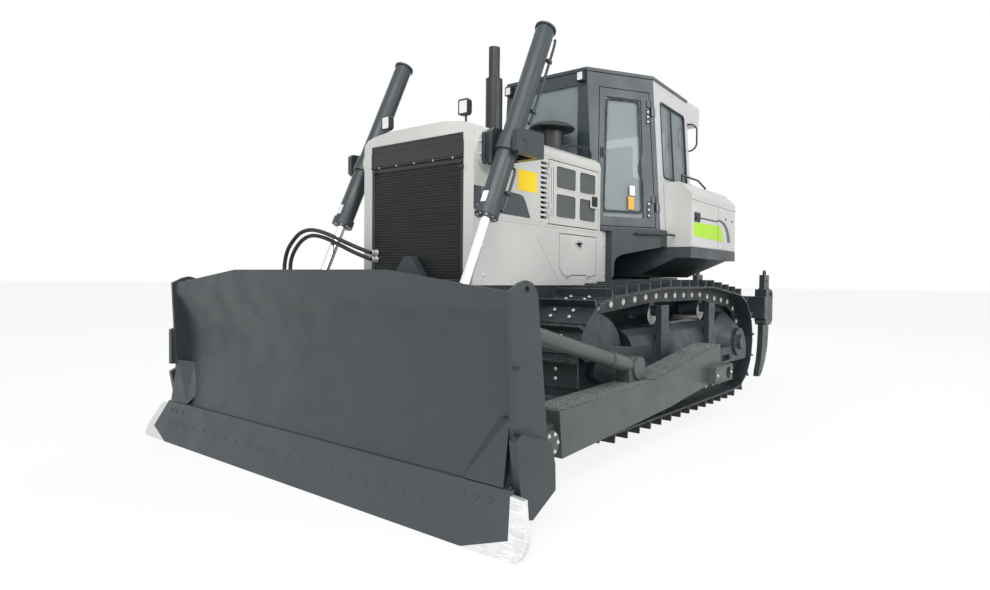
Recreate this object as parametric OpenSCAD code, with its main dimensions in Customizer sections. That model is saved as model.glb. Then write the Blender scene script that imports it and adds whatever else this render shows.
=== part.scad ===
// Crawler dozer with a straight blade and a three-tooth ripper.
// Millimetres, +Z up, front towards -Y, left side towards +X.
// The origin is on the ground, in the middle of the length and the width.

/* [Overall] */
// Half of the length from the blade's edge to the back of the ripper
half_len = 3510; // [3400:5:3600]
// Half of the hood's width
hood_hw = 640; // [600:5:660]
// Height of the cab roof's top
roof_z = 3430; // [3380:5:3480]

/* [Tracks] */
// Distance between the centre lines of the two tracks
gauge = 2000; // [1990:2:2010]
// Width of one shoe
shoe_w = 560; // [500:10:570]
// How many shoes one track has
shoes = 41; // [40:1:42]
// Height of the bar that stands on each shoe
bar_h = 70; // [55:1:75]
// Thickness of the shoe plate
shoe_t = 18; // [14:1:20]
// Centre of the drive sprocket along the machine
sprocket_y = 1540; // [1530:2:1560]
// Centre of the front idler along the machine
idler_y = -1330; // [-1350:2:-1310]
// How far the idler's centre is above the sprocket's centre
idler_lift = 8; // [4:1:12]

/* [Blade] */
// Width over the blade's end plates
blade_w = 3724; // [3700:4:3760]
// Height of the blade's top edge
blade_top = 1398; // [1380:2:1420]
// Thickness of the blade's front plate
blade_t = 26; // [20:1:32]
// Half of the straight part of the cutting edge
bit_in = 1570; // [1560:2:1580]
// Half of the width over the flared corner bits
bit_out = 2050; // [2040:2:2060]

/* [Push arms] */
// Inner face of the push arm
arm_in = 1316; // [1310:1:1320]
// Outer face of the push arm
arm_out = 1580; // [1560:2:1600]
// Radius of the pin that the push arm turns on
arm_pin_r = 60; // [55:1:64]

/* [Lift cylinders] */
// Side distance of the lift cylinders
lift_x = 840; // [836:1:844]
// Outer radius of the lift cylinder's barrel
barrel_r = 76; // [70:1:80]
// Radius of the lift rod
rod_r = 37; // [34:1:40]
// Half of the gap between the lift lugs on the blade
lift_lug = 42; // [41:1:46]

/* [Cab] */
// Thickness of the cab's walls
cab_t = 45; // [40:1:55]
// Thickness of the cab's glass
glass_t = 6; // [5:1:8]
// Clearance round a door
door_gap = 7; // [6:1:9]

/* [Hood] */
// Thickness of the hood's walls
hood_t = 30; // [24:1:36]
// Holes across the grille
grille_nx = 9; // [7:1:10]
// Rows of holes in the grille
grille_nz = 12; // [10:1:13]

/* [Ripper] */
// Side distance of the outer ripper teeth
shank_x = 1020; // [1000:5:1030]
// Width of the pockets that hold the shanks
pocket_w = 162; // [150:2:180]
// Length of the ripper's links between their pins
link_len = 800; // [780:5:820]

/* [Hidden] */
$fn = 40;
c_dark = [0.23, 0.27, 0.30];
c_cab = [0.20, 0.27, 0.31];
c_arm = [0.30, 0.33, 0.32];
c_grey = [0.77, 0.77, 0.75];
c_track = [0.16, 0.19, 0.20];
c_black = [0.06, 0.07, 0.07];
c_chrome = [0.82, 0.83, 0.85];
c_glass = [0.62, 0.72, 0.76, 0.45];
c_steel = [0.55, 0.57, 0.58];
c_lamp = [0.85, 0.86, 0.84];

track_x = gauge / 2;
pin_r = 480;
pin_plate = 72;
pin_rail = 61;
tip_r = pin_r + pin_plate + shoe_t + bar_h;
sprocket_z = tip_r;
idler_z = sprocket_z + idler_lift;
carrier_r = 76;
carrier_pin = 141;
carrier1_y = -360;
carrier2_y = 800;
carrier_z = 1065;
track_in = track_x - shoe_w / 2;
track_out = track_x + shoe_w / 2;
frame_in = track_x - 190;
frame_out = track_x + 190;

// Loop of the chain's pin line: idler, sprocket, rear carrier, front carrier
cs = [[idler_y, idler_z, pin_r], [sprocket_y, sprocket_z, pin_r],
      [carrier2_y, carrier_z, carrier_pin], [carrier1_y, carrier_z, carrier_pin]];
function strand(a, b) = let (d = [b[0] - a[0], b[1] - a[1]])
    atan2(d[1], d[0]) - acos((a[2] - b[2]) / norm(d));
function above(v, low) = v < low ? above(v + 360, low) : v;
nr0 = strand(cs[0], cs[1]);
nr1 = above(strand(cs[1], cs[2]), nr0);
nr2 = above(strand(cs[2], cs[3]), nr1);
nr3 = above(strand(cs[3], cs[0]), nr2);
nr = [nr0, nr1, nr2, nr3, nr0 + 360];
function line_len(i) = let (a = cs[i], b = cs[(i + 1) % 4], d = [b[0] - a[0], b[1] - a[1]])
    sqrt(d * d - pow(a[2] - b[2], 2));
function arc_len(i) = cs[(i + 1) % 4][2] * (nr[i + 1] - nr[i]) * PI / 180;
lens = [for (i = [0:3]) each [line_len(i), arc_len(i)]];
function total(v, n) = n == 0 ? 0 : v[n - 1] + total(v, n - 1);
cum = [for (i = [0:8]) total(lens, i)];
loop_len = cum[8];
pitch = loop_len / shoes;
function seg_of(s, k) = (k == 7 || s < cum[k + 1]) ? k : seg_of(s, k + 1);
function line_pt(i, q) = let (a = cs[i], n = nr[i])
    [a[0] + a[2] * cos(n) - q * sin(n), a[1] + a[2] * sin(n) + q * cos(n)];
function arc_pt(i, q) = let (c = cs[(i + 1) % 4], n = nr[i] + q / c[2] * 180 / PI)
    [c[0] + c[2] * cos(n), c[1] + c[2] * sin(n)];
function path(s) = let (w = s - loop_len * floor(s / loop_len), k = seg_of(w, 0))
    k % 2 == 0 ? line_pt(floor(k / 2), w - cum[k]) : arc_pt(floor(k / 2), w - cum[k]);
pins = [for (k = [0:shoes]) path(k * pitch)];
function tang(k) = let (d = pins[k + 1] - pins[k]) d / norm(d);
function mid(k) = (pins[k + 1] + pins[k]) / 2;
function place(k, a, b) = let (t = tang(k)) mid(k) + a * t + b * [t[1], -t[0]];
function pin_n(k) = let (t = tang(k % shoes) + tang((k + shoes - 1) % shoes), u = t / norm(t))
    [u[1], -u[0]];
hs = pitch / 2 - 4;
shoe_rim = [[-hs, 78], [-hs, pin_plate + shoe_t], [-hs, pin_plate + shoe_t + bar_h],
            [-hs + 14, pin_plate + shoe_t + bar_h], [-hs + 24, pin_plate + shoe_t],
            [hs, pin_plate + shoe_t], [hs, 78]];
roller_r = 100;
hub_out = track_x + 350;
drive_r = 296;
boss_t = 22;
side_end = -450;
service_z = 1396;
rail_z = function (y) sprocket_z - pin_r + pin_rail
    + idler_lift * (sprocket_y - y) / (sprocket_y - idler_y);
idler_rim = (pin_r - pin_rail) * cos(pitch / pin_r * 90 / PI) - 0.5;

// Pivot of the push arms
arm_y = 230;
arm_z = 455;
// Trunnion and rod eye of the lift cylinders
lift_ty = -2185;
lift_tz = 2340;
lift_ey = -2820;
lift_ez = 900;
lift_d = [lift_ty - lift_ey, lift_tz - lift_ez];
lift_l = norm(lift_d);
lift_a = -atan2(lift_d[0], lift_d[1]);
// Ripper pivots
rip_y = 2150;
rip_z = 600;
rip_h = 520;
beam_y = rip_y + link_len;
rcyl_x = 330;
rcyl_y = 2060;
rcyl_z = 1000;
rcyl_eye = 60;
reye_y = rip_y + 560;
reye_z = rip_z;
rcyl_d = [reye_y - rcyl_y, reye_z - rcyl_z];
rcyl_l = norm(rcyl_d);
rcyl_a = -atan2(rcyl_d[0], rcyl_d[1]);

// Way of the hoses from the nose to the tilt cylinder
hose_r = 17;
hose_a = [[-470, -2346, 1560], [-470, -2395, 1560], [-476, -2440, 1568],
    [-600, -2530, 1630], [-760, -2590, 1700],
    [-900, -2605, 1740], [-1050, -2605, 1756], [-1180, -2605, 1735], [-1290, -2600, 1680],
    [-1380, -2600, 1600], [-1430, -2600, 1500], [-1445, -2600, 1380], [-1440, -2600, 1240],
    [-1437, -2600, 1150], [-1437, -2600, 1080.8]];
hose_b = [[-470, -2346, 1505], [-470, -2390, 1505], [-476, -2430, 1512],
    [-600, -2500, 1570], [-760, -2555, 1645],
    [-900, -2570, 1690], [-1050, -2570, 1710], [-1170, -2570, 1690], [-1265, -2570, 1640],
    [-1345, -2570, 1565], [-1390, -2570, 1480], [-1402, -2570, 1370], [-1398, -2590, 1240],
    [-1393, -2600, 1150], [-1393, -2600, 1080.8]];

function way(p, i, t) = let (a = p[max(i - 1, 0)], b = p[i], c = p[i + 1],
    d = p[min(i + 2, len(p) - 1)])
    0.5 * (2 * b + (c - a) * t + (2 * a - 5 * b + 4 * c - d) * t * t
        + (3 * b - a - 3 * c + d) * t * t * t);
function ways(p) = concat([for (i = [0:len(p) - 2]) for (t = [0, 0.5]) way(p, i, t)],
    [p[len(p) - 1]]);
function unit(v) = v / norm(v);

// Plan of the cab: front corner, middle corner and rear corner of the left side
cab_zb = 1868;
cab_zt = 3395;
cab_yf = -615;
cab_yr = 950;
d_ab = [400, 615] / norm([400, 615]);
d_bc = [-60, 950] / norm([-60, 950]);
n_ab = [-d_ab[1], d_ab[0]];
n_bc = [-d_bc[1], d_bc[0]];
function b_at(z) = let (k = (z - cab_zb) / 1561) [1005 - 105 * k, 16 - 16 * k];
function cross2(a, b) = a[0] * b[1] - a[1] * b[0];
function meet(p, d, q, e) = p + d * cross2(q - p, e) / cross2(d, e);
function cab_left(z, t) = let (p = b_at(z) + n_ab * t, q = b_at(z) + n_bc * t)
    [meet(p, d_ab, [0, cab_yf + t], [1, 0]), meet(p, d_ab, q, d_bc),
     meet(q, d_bc, [0, cab_yr - t], [1, 0])];
function cab_ring(z, t) = let (l = cab_left(z, t))
    [l[0], l[1], l[2], [-l[2][0], l[2][1]], [-l[1][0], l[1][1]], [-l[0][0], l[0][1]]];
lean_ab = atan(79.3 / 1561);
lean_bc = atan(105.8 / 1561);
turn_ab = atan2(d_ab[1], d_ab[0]);
turn_bc = atan2(d_bc[1], d_bc[0]);
// How far the cab's middle corner leans along the door's wall, per unit of height
door_lean = 70.7 / 1561;

module box(x0, x1, y0, y1, z0, z1) {
    translate([x0, y0, z0]) cube([x1 - x0, y1 - y0, z1 - z0]);
}
module both() {
    children();
    mirror([1, 0, 0]) children();
}
module xcyl(x0, x1, y, z, r) {
    translate([x0, y, z]) rotate([0, 90, 0]) cylinder(h = x1 - x0, r = r);
}
module zcyl(x, y, z0, z1, r) {
    translate([x, y, z0]) cylinder(h = z1 - z0, r = r);
}
module side_cut(x0, x1) {
    translate([x0, 0, 0]) rotate([90, 0, 90]) linear_extrude(x1 - x0) children();
}
module front_cut(y0, y1) {
    translate([0, y1, 0]) rotate([90, 0, 0]) linear_extrude(y1 - y0) children();
}
module on_line(x, y, z, a) {
    translate([x, y, z]) rotate([a, 0, 0]) children();
}
module cab_block(z0, z1, t) {
    lo = cab_ring(z0, t);
    hi = cab_ring(z1, t);
    polyhedron([for (p = lo) [p[0], p[1], z0], for (p = hi) [p[0], p[1], z1]],
        concat([[0, 1, 2, 3, 4, 5]], [[11, 10, 9, 8, 7, 6]],
            [for (i = [0:5]) [i, i + 6, (i + 1) % 6 + 6, (i + 1) % 6]]));
}
// Local frame of the slanted door wall: X forward to rear along the wall, Y inwards, Z up
module on_ab() {
    translate([1005, 16, cab_zb]) rotate([0, 0, turn_ab]) rotate([-lean_ab, 0, 0]) children();
}
module on_bc() {
    translate([1005, 16, cab_zb]) rotate([0, 0, turn_bc]) rotate([-lean_bc, 0, 0]) children();
}

module track_loop() {
    ring_out = [for (k = [0:shoes - 1]) each [for (p = shoe_rim) place(k, p[0], p[1])]];
    ring_in = [for (k = [0:shoes - 1]) each [place(k, -hs, pin_plate), place(k, hs, pin_plate)]];
    rail_out = [for (k = [0:shoes - 1]) pins[k] + 76 * pin_n(k)];
    rail_in = [for (k = [0:shoes - 1]) pins[k] - pin_rail * pin_n(k)];
    side_cut(-shoe_w / 2, shoe_w / 2) difference() {
        polygon(ring_out);
        polygon(ring_in);
    }
    for (s = [-112, 70])
        side_cut(s, s + 42) difference() {
            polygon(rail_out);
            polygon(rail_in);
        }
}
module track_left() {
    color(c_track) translate([track_x, 0, 0]) track_loop();
}
module track_right() {
    color(c_track) translate([-track_x, 0, 0]) track_loop();
}
module sprockets() {
    teeth = 26;
    rim = [for (k = [0:teeth - 1]) let (a = 360 * k / teeth, d = 360 / teeth)
        each [[446 * cos(a), 446 * sin(a)], [500 * cos(a + d * 0.35), 500 * sin(a + d * 0.35)],
              [500 * cos(a + d * 0.65), 500 * sin(a + d * 0.65)]]];
    color(c_steel) both()
        difference() {
            translate([0, sprocket_y, sprocket_z]) side_cut(track_x - 36, track_x + 36) polygon(rim);
            xcyl(track_x - 40, track_x + 40, sprocket_y, sprocket_z, drive_r + 0.3);
        }
}
module idlers() {
    color(c_dark) both() {
        xcyl(track_x - 112, track_x + 112, idler_y, idler_z, idler_rim);
        xcyl(track_x - 62, track_x + 62, idler_y, idler_z, idler_rim + 22);
        xcyl(track_x - 136, track_x + 136, idler_y, idler_z, 150);
    }
}
module rollers() {
    color(c_dark) both() {
        for (y = [-780:360:1020])
            let (z = rail_z(y) + roller_r + 0.5) {
                xcyl(track_x - 112, track_x + 112, y, z, roller_r - 0.2);
                xcyl(track_x - 150, track_x + 150, y, z, 48);
            }
        for (y = [carrier1_y, carrier2_y]) {
            xcyl(track_x - 112, track_x + 112, y, carrier_z, carrier_r);
            xcyl(track_x + 112, frame_out, y, carrier_z, 52);
        }
    }
}
module final_drives() {
    color(c_dark) both() drive_shape(0);
}
module track_frames() {
    post_z = carrier_z + 56;
    color(c_dark) both() {
        difference() {
            front_cut(-1240, 1030) polygon([[frame_in, 445], [frame_out, 445], [frame_out, 760],
                [frame_out - 30, 850], [frame_out - 90, 910], [frame_in + 60, 910],
                [frame_in, 850]]);
            xcyl(frame_in - 10, frame_out + 10, idler_y, idler_z, idler_rim + 60);
        }
        for (x = [frame_in, track_x + 136])
            side_cut(x, x + 54) polygon([[-1500, 560], [-1400, 500], [-880, 460], [-840, 760],
                [-1240, 800], [-1480, 760]]);
        // Round cover beside the idler
        side_cut(frame_out - 1, frame_out + 16) union() {
            intersection() {
                translate([-1494, 850]) circle(r = 225);
                translate([-1719, 849]) square([450, 240]);
            }
            polygon([[-1719, 850], [-1719, 740], [-1640, 700], [-1320, 700], [-1269, 740],
                [-1269, 850]]);
        }
        for (x = [frame_in, track_x + 150])
            box(x, x + 40, -860, 1110, 285, 445);
        difference() {
            union() {
                box(frame_out, frame_out + 60, -900, 1880, 430, 590);
                box(frame_out - 60, frame_out, 1030, 1880, 430, 590);
                box(frame_out + 20, track_out, 1000, 1850, 420, 600);
            }
            box(frame_out + 40, track_out + 10, 1038, 1308, 448, 515);
            drive_shape(0.3);
        }
        xcyl(frame_out + 60, arm_out + 40, arm_y, arm_z, arm_pin_r);
        for (y = [carrier1_y, carrier2_y])
            side_cut(frame_out, frame_out + 60) polygon([[y - 65, 590], [y + 135, 590],
                [y + 115, 876], [y + 88, 900], [y + 88, post_z], [y - 70, post_z],
                [y - 70, 900], [y - 65, 876]]);
    }
}
module main_frame() {
    lug = rcyl_eye + 2;
    color(c_dark) {
        box(-330, 330, -2250, 1980, 520, 1180);
        box(-330, 330, 1100, 1900, 1180, 1395);
        // Towing lug in front of the grille, on the front plate
        front_cut(-2420, -2355) polygon([[-165, 1180], [165, 1180], [160, 1373], [60, 1500],
            [30, 1524], [-30, 1524], [-60, 1500], [-160, 1373]]);
        box(-165, 165, -2400, -2329, 1180, 1299.8);
        both() {
            box(330, 609.8, -2250, -560, 1060, 1299.8);
            box(0, hood_hw, -2330, -2250, 760, 1299.8);
            box(330, hood_hw, -552, -380, 1060, 1180);
            box(330, 479.8, 1340, 1760, 440, 840);
            box(330, frame_in, -700, -480, 560, 740);
            box(330, 640, 1845, 1980, 430, 1250);
            for (x = [440, 600])
                side_cut(x, x + 40) ripper_cheek();
            for (z = [rip_z, rip_z + rip_h])
                xcyl(440, 640, rip_y, z, 35);
            for (x = [rcyl_x - lug - 24, rcyl_x + lug])
                side_cut(x, x + 24) polygon([[1980.3, 880], [rcyl_y + 60, 930],
                    [rcyl_y + 60, 1050], [1980.3, 1110]]);
            xcyl(rcyl_x - lug - 10, rcyl_x + lug + 10, rcyl_y, rcyl_z, 28);
        }
    }
}
module ripper_cheek() {
    polygon([[1980.3, 480], [rip_y, rip_z - 90], [rip_y + 70, rip_z],
        [rip_y + 70, rip_z + rip_h], [rip_y, rip_z + rip_h + 90], [1980.3, 1250]]);
}
module engine_block() {
    color(c_dark) box(-300, 300, -1950, -720, 1180.2, 2280);
}
module grille() {
    gx = 535.7;
    z0 = 1310;
    z1 = 2262;
    color(c_black) {
        difference() {
            box(-gx, gx, -2345, -2325, z0, z1);
            for (i = [0:grille_nx - 1])
                for (j = [0:grille_nz - 1])
                    let (sx = 2 * (gx - 40) / grille_nx, sz = (z1 - z0 - 80) / grille_nz,
                         x = -gx + 40 + sx * (i + 0.5 + (j % 2 == 0 ? -0.22 : 0.22)),
                         z = z0 + 40 + sz * (j + 0.5))
                        translate([x, -2350, z]) rotate([-90, 30, 0])
                            cylinder(h = 30, r = sz * 0.42, $fn = 6);
        }
        box(-gx, gx, -2325, -2260, 1320, z1);
        box(-gx, gx, -2352, -2260, z1, 2395.8);
        box(-530, 530, -2352, -2320.2, 2395.8, 2452);
    }
}
module hood_profile(e) {
    w = hood_hw - e;
    polygon([[-w, 1830], [w, 1830], [w, 2440 - e], [w - 14, 2486 - e], [w - 50, 2516 - e],
        [w - 120, 2535 - e], [w - 320, 2560 - e], [-w + 320, 2560 - e],
        [-w + 120, 2535 - e], [-w + 50, 2516 - e], [-w + 14, 2486 - e], [-w, 2440 - e]]);
}
module hood_shell() {
    color(c_grey) {
        difference() {
            front_cut(-2345, -556) hood_profile(0);
            front_cut(-2285, -500) hood_profile(hood_t);
            box(-700, 700, -2400, -500, 1800, 2396);
            box(-530.3, 530.3, -2400, -2320, 2300, 2452.2);
            cab_block(cab_zb - 5, cab_zt, -0.4);
        }
        both() {
            box(536, hood_hw, -2345, -2250, 1300, 2396);
            box(hood_hw - hood_t, hood_hw, -2250, -1540, 1830, 2396);
            // Round boss that carries the yoke
            xcyl(hood_hw - 10, hood_hw + boss_t, lift_ty, 2330, 158);
        }
    }
}
module hood_sides() {
    color(c_grey) both() {
        difference() {
            box(hood_hw - hood_t, hood_hw, -2249.8, side_end, 1300, 1829.8);
            side_cut(hood_hw - hood_t - 5, hood_hw + 5) service_plan(door_gap);
        }
        difference() {
            box(hood_hw - hood_t, hood_hw, -1539.8, -1408, 1829.8, 2395.8);
            for (k = [0:11])
                box(hood_hw - hood_t - 5, hood_hw + 5, -1538 + 18, -1429, 1872 + k * 42,
                    1894 + k * 42);
        }
        difference() {
            box(hood_hw - hood_t, hood_hw, -591, -560, 1829.8, 2395.8);
            cab_block(cab_zb - 5, cab_zt, -0.4);
        }
        for (z = [1905, 2255])
            knuckle_z(-1404.5, z, z + 60, true);
        for (y = [-1160, -800])
            knuckle_y(service_z - 4, y, y + 50, true);
    }
}
module engine_door() {
    y0 = -1401;
    y1 = -598;
    difference() {
        box(hood_hw - hood_t, hood_hw, y0, y1, 1838, 2388);
        for (p = [[-1303, -973, 2150, 2362], [-933, -635, 2150, 2362],
                  [-1303, -973, 1893, 2118], [-933, -635, 1893, 2118]])
            box(hood_hw - 14, hood_hw + 5, p[0], p[1], p[2], p[3]);
    }
    for (z = [1905, 2255])
        knuckle_z(-1404.5, z + 60.3, z + 108, false);
}
module engine_door_left() {
    color(c_grey) engine_door();
}
module engine_door_right() {
    color(c_grey) mirror([1, 0, 0]) engine_door();
}
module service_door() {
    side_cut(hood_hw - hood_t, hood_hw) service_plan(0);
    box(hood_hw, hood_hw + 14, -990, -910, 1690, 1706);
    for (y = [-1160, -800])
        knuckle_y(service_z - 4, y + 50.3, y + 88, false);
}
module service_door_left() {
    color(c_grey) service_door();
}
module service_door_right() {
    color(c_grey) mirror([1, 0, 0]) service_door();
}
module stacks() {
    color(c_dark) {
        zcyl(60, -1470, 2560.2, 3156, 76);
        zcyl(60, -1470, 3156, 3440, 51);
        zcyl(250, -845, 2560.2, 2780, 123);
        translate([250, -845, 2776]) rotate_extrude()
            polygon([[0, 0], [123, 0], [214, 18], [225, 26], [225, 40], [214, 50], [170, 74],
                [110, 90], [50, 97], [0, 98]]);
    }
}
module cab_shell() {
    seam = 0.4;
    color(c_cab) {
        difference() {
            cab_block(cab_zb, cab_zt, 0);
            cab_block(cab_zb - 5, cab_zt + 5, cab_t);
            both() {
                on_ab() translate([0, -60, 0]) rotate([90, 0, 0]) mirror([0, 0, 1])
                    linear_extrude(160) door_plan(0);
                on_bc() box(150, 830, -60, 100, 560, 1340);
                // Seams between the flat walls
                box(480, 480 + seam, cab_yf - 20, cab_yf + 80, cab_zb - 5, cab_zt + 5);
                box(780, 780 + seam, cab_yr - 80, cab_yr + 20, cab_zb - 5, cab_zt + 5);
                on_bc() box(5, 5 + seam, -60, 110, -20, 1620);
                // Seams between the sill, the posts and the header of the door's wall
                for (z = [14, 1390])
                    on_ab() box(-900, 10, -60, 160, z - seam / 2, z + seam / 2);
            }
            box(-400, 400, cab_yf - 20, cab_yf + 80, 2570, 3270);
            box(-600, 600, cab_yr - 80, cab_yr + 20, 2400, 3080);
        }
        both() on_ab() rotate([0, -atan(door_lean), 0])
            for (z = [180, 1150]) {
                translate([-40, -12, z]) cylinder(h = 90, r = 11);
                translate([-40, -12, z]) cube([40, 14, 90]);
                translate([-40, -12, z + 90]) cylinder(h = 70, r = 5);
            }
    }
}
// Outline of the door: X along the wall (0 is the rear corner), Y up
module door_plan(e) {
    polygon([[-706 + e, 14 + e], [-52 - e - 14 * door_lean, 14 + e],
        [-52 - e - 1390 * door_lean, 1390 - e], [-672 + e, 1390 - e]]);
}
module door_window(e) {
    polygon([[-640 + e, 110 + e], [-190 - e, 110 + e], [-194 - e, 473], [-236 - e, 577],
        [-236 - e, 645], [-196 - e, 765], [-208 - e, 1300 - e], [-610 + e, 1300 - e]]);
}
module cab_door() {
    on_ab() {
        difference() {
            rotate([90, 0, 0]) mirror([0, 0, 1]) linear_extrude(cab_t - 5) door_plan(door_gap);
            translate([0, -20, 0]) rotate([90, 0, 0]) mirror([0, 0, 1]) linear_extrude(80)
                door_window(0);
        }
        rotate([0, -atan(door_lean), 0]) for (z = [180, 1150])
            difference() {
                union() {
                    translate([-40, -12, z + 90.3]) cylinder(h = 68, r = 11);
                    translate([-90, -12, z + 90.3]) cube([31, 12, 68]);
                    translate([-60, -12, z + 90.3]) cube([20, 11.4, 68]);
                }
                translate([-40, -12, z + 85]) cylinder(h = 80, r = 5.06);
            }
    }
}
module door_glass() {
    on_ab() translate([0, 16, 0]) rotate([90, 0, 0]) mirror([0, 0, 1]) linear_extrude(glass_t)
        door_window(0);
}
module cab_door_left() {
    color(c_cab) cab_door();
}
module cab_door_right() {
    color(c_cab) mirror([1, 0, 0]) cab_door();
}
module door_glass_left() {
    color(c_glass) door_glass();
}
module door_glass_right() {
    color(c_glass) mirror([1, 0, 0]) door_glass();
}
module cab_glass() {
    color(c_glass) {
        box(-400, 400, cab_yf + 18, cab_yf + 18 + glass_t, 2570, 3270);
        box(-600, 600, cab_yr - 24, cab_yr - 24 + glass_t, 2400, 3080);
        both() on_bc() box(150, 830, 16, 16 + glass_t, 560, 1340);
    }
}
module cab_roof() {
    color(c_dark) {
        cab_block(cab_zt, roof_z - 8, -12);
        cab_block(roof_z - 8, roof_z, -4);
    }
}
module cab_inside() {
    color(c_black) {
        box(-560, 560, -360, 850, 1868.2, 1890);
        box(-200, 200, 250, 820, 1890.3, 2180);
        both() side_cut(330, 520) polygon([[100, 1890.3], [780, 1890.3], [780, 2440],
            [700, 2480], [240, 2480], [100, 2400]]);
        side_cut(-420, 420) polygon([[-555, 1868.2], [-360.3, 1868.2], [-360.3, 2280],
            [-400, 2380], [-440, 2420], [-555, 2420]]);
    }
}
module ac_unit() {
    color(c_grey) side_cut(-840, 840) polygon([[cab_yr + 0.2, 3180], [1300, 3180], [1330, 3210],
        [1330, 3385], [1300, 3415], [cab_yr + 12.5, 3415], [cab_yr + 12.5, cab_zt - 0.3],
        [cab_yr + 0.2, cab_zt - 0.3]]);
}
module platform() {
    color(c_dark) {
        difference() {
            translate([0, 0, 1700]) linear_extrude(cab_zb - 1700)
                polygon([[642, -552], [1012, 12], [1012, 156], [850, 156], [850, 1380],
                    [-850, 1380], [-850, 156], [-1012, 156], [-1012, 12], [-642, -552]]);
            both() box(600, 720, -560, side_end + 0.3, 1690, 1836);
        }
        both() {
            translate([0, 0, 1590]) linear_extrude(110)
                polygon([[0, 60], [1276, 156], [1276, 1420], [0, 1420]]);
            front_cut(60, 1380) polygon([[0, 1395.2], [700, 1395.2], [1180, 1590], [0, 1590]]);
            box(520, 609.6, -552, -380, 1180.2, 1700);
            // Skirt that goes down in front of the track
            box(641, 709, side_end + 0.3, side_end + 12.3, 1300, 1836);
            translate([642, -552, 0]) rotate([0, 0, atan2(564, 370)]) rotate([90, 0, 0])
                mirror([0, 0, 1]) linear_extrude(12)
                    polygon([[122, 1380], [148, 1380], [155, 1531], [177, 1573], [233, 1605],
                        [290, 1619], [674, 1690], [674, 1701], [122, 1701]]);
        }
    }
}
module side_tanks() {
    color(c_grey) both()
        difference() {
            front_cut(156, 1396) polygon([[850.2, 1700.2], [1270, 1700.2], [1280, 1712],
                [1280, 2228], [1272, 2248], [1160, 2356], [1136, 2368], [850.2, 2368]]);
            on_bc() box(-200, 960, -2, 200, -400, 600);
        }
}
module lift_yokes() {
    x0 = hood_hw + boss_t + 0.2;
    ring = barrel_r + 16;
    y1 = lift_ty + 246;
    color(c_dark) both()
        difference() {
            union() {
                box(x0, 690, lift_ty - 100, y1, lift_tz - 125, lift_tz + 105);
                side_cut(690, lift_x - ring - 6) polygon([[lift_ty - 75, lift_tz - 123],
                    [lift_ty + 70, lift_tz - 123], [y1, lift_tz - 75], [y1, lift_tz + 115],
                    [lift_ty + 120, lift_tz + 141], [lift_ty - 45, lift_tz + 141],
                    [lift_ty - 75, lift_tz + 110]]);
                box(690, 985, lift_ty + 178, y1, lift_tz - 75, lift_tz + 115);
                side_cut(lift_x + ring + 6, 985) polygon([[lift_ty - 75, lift_tz - 55],
                    [lift_ty - 50, lift_tz - 75], [y1, lift_tz - 75], [y1, lift_tz + 115],
                    [lift_ty - 50, lift_tz + 115], [lift_ty - 75, lift_tz + 95]]);
            }
            xcyl(lift_x - 160, lift_x + 150, lift_ty, lift_tz, 36.07);
        }
}
module lift_barrels() {
    color(c_dark) both() {
        on_line(lift_x, lift_ty, lift_tz, lift_a)
            difference() {
                union() {
                    translate([0, 0, -596]) cylinder(h = 1699, r = barrel_r);
                    translate([0, 0, -596]) cylinder(h = 60, r = barrel_r + 12);
                    translate([0, 0, -66]) cylinder(h = 132, r = barrel_r + 16);
                    translate([-152, 0, 0]) rotate([0, 90, 0]) cylinder(h = 294, r = 36);
                }
                translate([0, 0, -600]) cylinder(h = 1660, r = rod_r + 0.2);
            }
    }
}
module lift_rods() {
    color(c_chrome) both()
        on_line(lift_x, lift_ty, lift_tz, lift_a)
            union() {
                translate([0, 0, -lift_l]) cylinder(h = lift_l + 120, r = rod_r);
                translate([-30, 0, -lift_l]) rotate([0, 90, 0]) cylinder(h = 60, r = 52);
            }
}
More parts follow.
